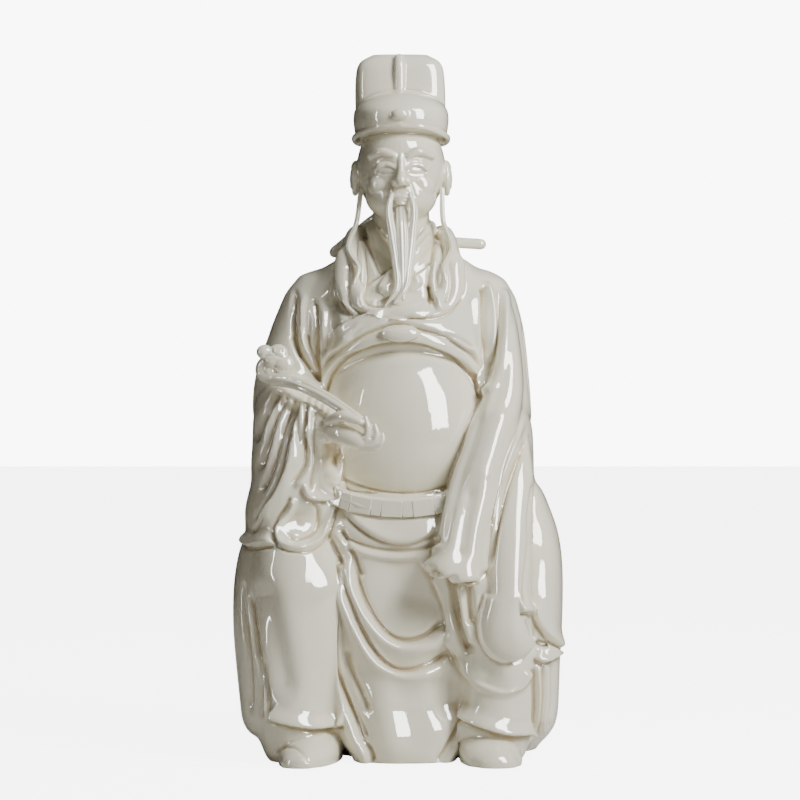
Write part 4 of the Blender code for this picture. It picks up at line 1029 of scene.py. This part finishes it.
class PorcelainStageSettings(bpy.types.PropertyGroup):
    """Floor, lights and camera"""

    floor_colour: FloatVectorProperty(
        name="Floor", description="Colour of the pale floor", subtype="COLOR", min=0, max=1,
        default=linear("#D2D0CA")[:3])
    key_power: FloatProperty(name="Key light", description="Power of the softbox in front, to the right",
                             min=0, default=14.5)
    focal_length: FloatProperty(name="Focal length", description="Lens of the camera in millimetres", min=20,
                                default=126.0)


# Operators, one for each step of the model and one for the stage, and the functions that they call.


def robe_masses():
    """The masses of the robes over torso, seat, legs and arms, well softened."""
    clay = bmesh.new()
    for sections in (SKIRT, CENTRE_PANEL, TORSO):
        stack(clay, sections)
    for rows in (LEFT_SHIN, RIGHT_SHIN, LEFT_UPPER_ARM, RIGHT_UPPER_ARM, LEFT_SLEEVE):
        limb(clay, rows)
    for rows in (LEFT_OUTER_PANEL, RIGHT_OUTER_PANEL, RIGHT_FOREARM, RIGHT_SLEEVE_FALL):
        limb(clay, rows)
    for rows in (LEFT_THIGH, RIGHT_THIGH, LEFT_FOREARM):
        limb(clay, rows, facing=UPWARDS)
    return fuse(clay, MASS_GRAIN, MASS_SOFTENING)


def laid_over(masses):
    """The masses with belly, knot, belt, sleeve falls, shoes, collars, neck and wrist laid over them."""
    clay = bmesh.new()
    clay.from_mesh(masses)
    for form in (BELLY, BREAST_KNOT):
        ball(clay, form)
    for sections in (RIGHT_SLEEVE_FRONT, FRONT_LOBE, OUTER_LOBE):
        stack(clay, sections)
    limb(clay, LEFT_SLEEVE)
    for rows in SHOES:
        limb(clay, rows, facing=UPWARDS)
    limb(clay, COLLAR, facing="outwards", slices=BAND_RINGS)
    limb(clay, BELT, facing="outwards")
    for rows in INNER_COLLARS:
        limb(clay, rows, facing="outwards")
    limb(clay, NECK)
    limb(clay, WRIST, facing=UPWARDS)
    return fuse(clay, ROBE_GRAIN, FINE_SOFTENING)


def carve_robes(robes):
    """The folds of the front, broad ones first, and those of the back and both sides."""
    carve(robes, BROAD_FOLDS)
    carve(robes, FINE_FOLDS)
    carve(robes, back_folds(), sign=1)
    for side in (-1, 1):
        carve(robes, side_folds(), across=1, towards=0, sign=side)


class PORCELAIN_OT_robes(bpy.types.Operator):
    """Model the robed body with its sleeves, lap and shoes"""

    bl_idname = "porcelain.robes"
    bl_label = "Robed body"

    def execute(self, context):
        robes = laid_over(robe_masses())
        carve_robes(robes)
        robes = under_glaze(robes, GLAZE_SOFTENING, ROBE_TRIANGLES)
        cut_at_ground(robes)
        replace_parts(fired("robed_body", robes), NODE)
        return {"FINISHED"}


def plaque_tree():
    """Nodes that set rounded plaques, wide and narrow by turns, along a line with an outward direction."""
    tree = bpy.data.node_groups.new("belt_plaques", "GeometryNodeTree")
    tree.interface.new_socket("Geometry", in_out="INPUT", socket_type="NodeSocketGeometry")
    for name in ("Wide", "Narrow", "Height", "Thickness"):
        tree.interface.new_socket(name, in_out="INPUT", socket_type="NodeSocketFloat")
    tree.interface.new_socket("Plaques", in_out="INPUT", socket_type="NodeSocketInt")
    tree.interface.new_socket("Material", in_out="INPUT", socket_type="NodeSocketMaterial")
    tree.interface.new_socket("Geometry", in_out="OUTPUT", socket_type="NodeSocketGeometry")
    given = add_node(tree, "NodeGroupInput").outputs
    line = add_node(tree, "GeometryNodeMeshToCurve", links={"Mesh": given["Geometry"]})
    spots = add_node(tree, "GeometryNodeResampleCurve", {"mode": "COUNT"},
                     links={"Curve": line.outputs["Curve"], "Count": given["Plaques"]})
    block = add_node(tree, "GeometryNodeMeshCube", values={"Size": (1, 1, 1)})
    rounded = add_node(tree, "GeometryNodeSubdivisionSurface",
                       values={"Level": PLAQUE_SMOOTHINGS, "Edge Crease": PLAQUE_CREASE},
                       links={"Mesh": block.outputs["Mesh"]})
    index = add_node(tree, "GeometryNodeInputIndex")
    turn = add_node(tree, "ShaderNodeMath", {"operation": "MODULO"}, {1: 2.0}, {0: index.outputs["Index"]})
    length = add_node(tree, "ShaderNodeMix", links={"Factor": turn.outputs["Value"], "A": given["Wide"],
                                                    "B": given["Narrow"]})
    size = add_node(tree, "ShaderNodeCombineXYZ",
                    links={"X": length.outputs["Result"], "Y": given["Thickness"], "Z": given["Height"]})
    outward = add_node(tree, "GeometryNodeInputNamedAttribute", {"data_type": "FLOAT_VECTOR"},
                       {"Name": "outward"})
    tangent = add_node(tree, "GeometryNodeInputTangent")
    along = add_node(tree, "FunctionNodeAlignRotationToVector", {"axis": "X"},
                     links={"Vector": tangent.outputs["Tangent"]})
    facing = add_node(tree, "FunctionNodeAlignRotationToVector", {"axis": "Y", "pivot_axis": "X"},
                      links={"Rotation": along.outputs["Rotation"], "Vector": outward.outputs["Attribute"]})
    plaques = add_node(tree, "GeometryNodeInstanceOnPoints",
                       links={"Points": spots.outputs["Curve"], "Instance": rounded.outputs["Mesh"],
                              "Rotation": facing.outputs["Rotation"], "Scale": size.outputs["Vector"]})
    real = add_node(tree, "GeometryNodeRealizeInstances", links={"Geometry": plaques.outputs["Instances"]})
    glazed = add_node(tree, "GeometryNodeSetMaterial", links={"Geometry": real.outputs["Geometry"],
                                                              "Material": given["Material"]})
    add_node(tree, "NodeGroupOutput", links={"Geometry": glazed.outputs["Geometry"]})
    return tree


def belt_line(plaques):
    """The middle of the belt's face as a mesh line, with the way each of its points faces."""
    path = through(BELT, BELT_SAMPLES)[:, :3]
    outward = outwards(path)
    path = path + outward * PLAQUE_OUT
    run = np.concatenate([[0], np.cumsum(np.linalg.norm(np.diff(path, axis=0), axis=1))])
    middle = run[-1] / 2
    half = PLAQUE_STEP * (plaques - 1) / 2
    kept = (run >= middle - half) & (run <= middle + half)
    path, outward = path[kept], outward[kept]
    mesh = bpy.data.meshes.new("belt_line")
    mesh.from_pydata(path.tolist(), [(at, at + 1) for at in range(len(path) - 1)], [])
    facing = mesh.attributes.new("outward", "FLOAT_VECTOR", "POINT")
    facing.data.foreach_set("vector", outward.astype(np.float32).ravel())
    return mesh


class PORCELAIN_OT_belt(bpy.types.Operator):
    """Set the plaques along the belt"""

    bl_idname = "porcelain.belt"
    bl_label = "Belt plaques"

    def execute(self, context):
        plaques = context.scene.porcelain_figure.plaques
        line = bpy.data.objects.new("belt_line", belt_line(plaques))
        context.scene.collection.objects.link(line)
        nodes = line.modifiers.new("Plaques", "NODES")
        nodes.node_group = plaque_tree()
        given = {"Wide": PLAQUE_LENGTHS[0], "Narrow": PLAQUE_LENGTHS[1], "Height": PLAQUE_HEIGHT,
                 "Thickness": PLAQUE_THICKNESS, "Plaques": plaques, "Material": glazed_porcelain()}
        for socket in nodes.node_group.interface.items_tree:
            if socket.name in given:
                nodes[socket.identifier] = given[socket.name]
        mesh = evaluated(line)
        bpy.data.objects.remove(line)
        pool_glaze_and_shade(mesh)
        fired("belt_plaques", mesh)
        return {"FINISHED"}


class PORCELAIN_OT_head(bpy.types.Operator):
    """Model the head with its cap and wings"""

    bl_idname = "porcelain.head"
    bl_label = "Head and cap"

    def execute(self, context):
        clay = bmesh.new()
        for form in (SKULL, JAW, CHIN, CAP_JEWEL, HAIR_BEHIND, *CHEEKS, *EARS, *EYES, *NOSTRILS):
            ball(clay, form)
        for sections in (CAP_DOME, CAP_CROWN):
            stack(clay, sections)
        for rows in (NECK, NOSE, CAP_RIB, LEFT_WING, RIGHT_WING, *BROWS, *LIPS):
            limb(clay, rows)
        limb(clay, CAP_RIM, facing="outwards", slices=BAND_RINGS)
        head = fuse(clay, HEAD_GRAIN, FINE_SOFTENING)
        carve(head, face_folds())
        for side in (-1, 1):
            carve(head, EAR_FOLDS, across=1, towards=0, sign=side)
        fired("head_and_cap", under_glaze(head, THIN_GLAZE_SOFTENING, HEAD_TRIANGLES))
        return {"FINISHED"}


class PORCELAIN_OT_hair(bpy.types.Operator):
    """Model the beard and the strands beside the face"""

    bl_idname = "porcelain.hair"
    bl_label = "Beard and strands"

    def execute(self, context):
        pieces = (("beard", BEARD, BEARD_HAIRS), ("side_strands", SIDE_STRANDS, STRAND_HAIRS))
        for name, strands, hairs in pieces:
            clay = bmesh.new()
            for rows in strands:
                limb(clay, rows, slices=STRAND_RINGS, sides=STRAND_SIDES, hairs=hairs)
            mesh = as_mesh(clay, name)
            pool_glaze_and_shade(mesh)
            fired(name, mesh)
        return {"FINISHED"}


class PORCELAIN_OT_sceptre(bpy.types.Operator):
    """Model the sceptre and the hand that holds it"""

    bl_idname = "porcelain.sceptre"
    bl_label = "Sceptre and hand"

    def execute(self, context):
        clay = bmesh.new()
        for rows in (SCEPTRE_HANDLE, SCEPTRE_STEM):
            limb(clay, rows)
        for form in SCEPTRE_LOBES:
            ball(clay, form, tilt=LOBE_TILT)
        for rows in (WRIST, PALM, THUMB, *FINGERS):
            limb(clay, rows, facing=UPWARDS)
        hand = fuse(clay, HAND_GRAIN, FINE_SOFTENING)
        carve(hand, LOBE_CURLS + HANDLE_GROOVES)
        fired("sceptre_and_hand", under_glaze(hand, THIN_GLAZE_SOFTENING, HAND_TRIANGLES))
        return {"FINISHED"}


class PORCELAIN_OT_stage(bpy.types.Operator):
    """Add the pale floor, the soft lights and the camera"""

    bl_idname = "porcelain.stage"
    bl_label = "Stage"

    def execute(self, context):
        add_floor(context.scene.porcelain_stage)
        add_lights(context.scene.porcelain_stage)
        add_room()
        add_camera(context.scene.porcelain_stage)
        return {"FINISHED"}


# The stage. The floor's half size in metres and its surface. What all lights are turned to. Of each
# softbox: place, width and height in metres, power in watts, whether it lights the surfaces and whether it
# shows in the glaze. The key light's power is a setting. Then the room's colour and strength, the strengths
# that the floor and the paper behind have for the camera alone, and the camera's sensor in millimetres.
FLOOR_SIZE = 6.0
FLOOR_ROUGHNESS = 0.95
FLOOR_SHEEN = 0.1
LIGHT_AIM = (0, 0, 0.18)
KEY_SOFTBOX = ("key_softbox", (0.62, -0.55, 0.72), 0.35, 0.35)
SOFTBOXES = (
    ("window_strip", (0.62, -0.68, 0.70), 0.38, 1.1, 48, False, True),
    ("far_strip", (-0.9, -0.55, 0.4), 0.05, 0.9, 5, False, True),
    ("fill_softbox", (-0.9, -1.0, 0.4), 0.5, 0.8, 0.25, True, False),
    ("top_softbox", (0.1, 0.0, 1.1), 0.5, 0.4, 3, True, False),
)
ROOM_COLOUR = "#EFE6D3"
ROOM_STRENGTH = 0.06
FLOOR_SEEN_STRENGTH = 6.0
PAPER_SEEN_STRENGTH = 9.0
WHITE = (1, 1, 1, 1)
SENSOR_WIDTH = 36.0


def add_floor(settings):
    """A pale matt floor, lifted for the camera so that it reads as white paper."""
    mesh = bpy.data.meshes.new("floor")
    solid = bmesh.new()
    bmesh.ops.create_grid(solid, x_segments=1, y_segments=1, size=FLOOR_SIZE)
    solid.to_mesh(mesh)
    solid.free()
    floor = bpy.data.objects.new("floor", mesh)
    bpy.context.scene.collection.objects.link(floor)
    material = bpy.data.materials.new("matt_paper_floor")
    material.use_nodes = True
    surface = material.node_tree.nodes["Principled BSDF"]
    surface.inputs["Base Color"].default_value = (*settings.floor_colour, 1)
    surface.inputs["Roughness"].default_value = FLOOR_ROUGHNESS
    surface.inputs["Specular IOR Level"].default_value = FLOOR_SHEEN
    seen = add_node(material.node_tree, "ShaderNodeLightPath")
    lift = add_node(material.node_tree, "ShaderNodeMath", {"operation": "MULTIPLY"}, {1: FLOOR_SEEN_STRENGTH},
                    {0: seen.outputs["Is Camera Ray"]})
    surface.inputs["Emission Color"].default_value = WHITE
    material.node_tree.links.new(lift.outputs["Value"], surface.inputs["Emission Strength"])
    mesh.materials.append(material)


def add_softbox(name, place, width, height, power, lights_surfaces, shows_in_glaze):
    """A rectangular light turned to the figure, which may light the surfaces, show in the glaze, or both."""
    light = bpy.data.lights.new(name, "AREA")
    light.shape = "RECTANGLE"
    light.size = width
    light.size_y = height
    light.energy = power
    lamp = bpy.data.objects.new(name, light)
    lamp.location = place
    lamp.rotation_euler = (Vector(LIGHT_AIM) - Vector(place)).to_track_quat("-Z", "Y").to_euler()
    lamp.visible_diffuse = lights_surfaces
    lamp.visible_glossy = shows_in_glaze
    bpy.context.scene.collection.objects.link(lamp)


def add_lights(settings):
    """The softboxes."""
    add_softbox(*KEY_SOFTBOX, settings.key_power, lights_surfaces=True, shows_in_glaze=False)
    for softbox in SOFTBOXES:
        add_softbox(*softbox)


def add_room():
    """A dim warm room that the camera sees as white paper."""
    world = bpy.data.worlds.new("studio")
    world.use_nodes = True
    tree = world.node_tree
    room = tree.nodes["Background"]
    room.inputs["Color"].default_value = linear(ROOM_COLOUR)
    room.inputs["Strength"].default_value = ROOM_STRENGTH
    paper = add_node(tree, "ShaderNodeBackground", values={"Color": WHITE, "Strength": PAPER_SEEN_STRENGTH})
    seen = add_node(tree, "ShaderNodeLightPath")
    mixed = add_node(tree, "ShaderNodeMixShader", links={0: seen.outputs["Is Camera Ray"],
                                                         1: room.outputs["Background"],
                                                         2: paper.outputs["Background"]})
    tree.links.new(mixed.outputs["Shader"], tree.nodes["World Output"].inputs["Surface"])
    bpy.context.scene.world = world


def add_camera(settings):
    """The camera in front of the figure, where its folds were drawn from."""
    lens = bpy.data.cameras.new("photo_camera")
    lens.sensor_width = SENSOR_WIDTH
    lens.lens = settings.focal_length
    camera = bpy.data.objects.new("photo_camera", lens)
    camera.location = PLACE @ Vector((0, -VIEW_DISTANCE, EYE_HEIGHT))
    camera.rotation_euler = (math.pi / 2, 0, 0)
    bpy.context.scene.collection.objects.link(camera)
    bpy.context.scene.camera = camera


class PORCELAIN_PT_figure(bpy.types.Panel):
    """Glaze, stage and the pieces of the figure"""

    bl_idname = "PORCELAIN_PT_figure"
    bl_label = "Porcelain deity"
    bl_space_type = "VIEW_3D"
    bl_region_type = "UI"
    bl_category = "Porcelain"

    def draw(self, context):
        for settings in (context.scene.porcelain_figure, context.scene.porcelain_stage):
            for name in settings.__annotations__:
                self.layout.prop(settings, name)
        for operator in OPERATORS:
            self.layout.operator(operator.bl_idname)


OPERATORS = (
    PORCELAIN_OT_robes,
    PORCELAIN_OT_belt,
    PORCELAIN_OT_head,
    PORCELAIN_OT_hair,
    PORCELAIN_OT_sceptre,
    PORCELAIN_OT_stage,
)
CLASSES = (PorcelainFigureSettings, PorcelainStageSettings, *OPERATORS, PORCELAIN_PT_figure)


def register():
    """Make the settings, operators and panel known to Blender."""
    for item in CLASSES:
        bpy.utils.register_class(item)
    bpy.types.Scene.porcelain_figure = PointerProperty(type=PorcelainFigureSettings)
    bpy.types.Scene.porcelain_stage = PointerProperty(type=PorcelainStageSettings)


def unregister():
    """Take them out again."""
    del bpy.types.Scene.porcelain_stage
    del bpy.types.Scene.porcelain_figure
    for item in reversed(CLASSES):
        bpy.utils.unregister_class(item)


def main():
    """Build every piece and the stage."""
    register()
    bpy.ops.porcelain.robes()
    bpy.ops.porcelain.belt()
    bpy.ops.porcelain.head()
    bpy.ops.porcelain.hair()
    bpy.ops.porcelain.sceptre()
    bpy.ops.porcelain.stage()


if __name__ == "__main__":
    main()
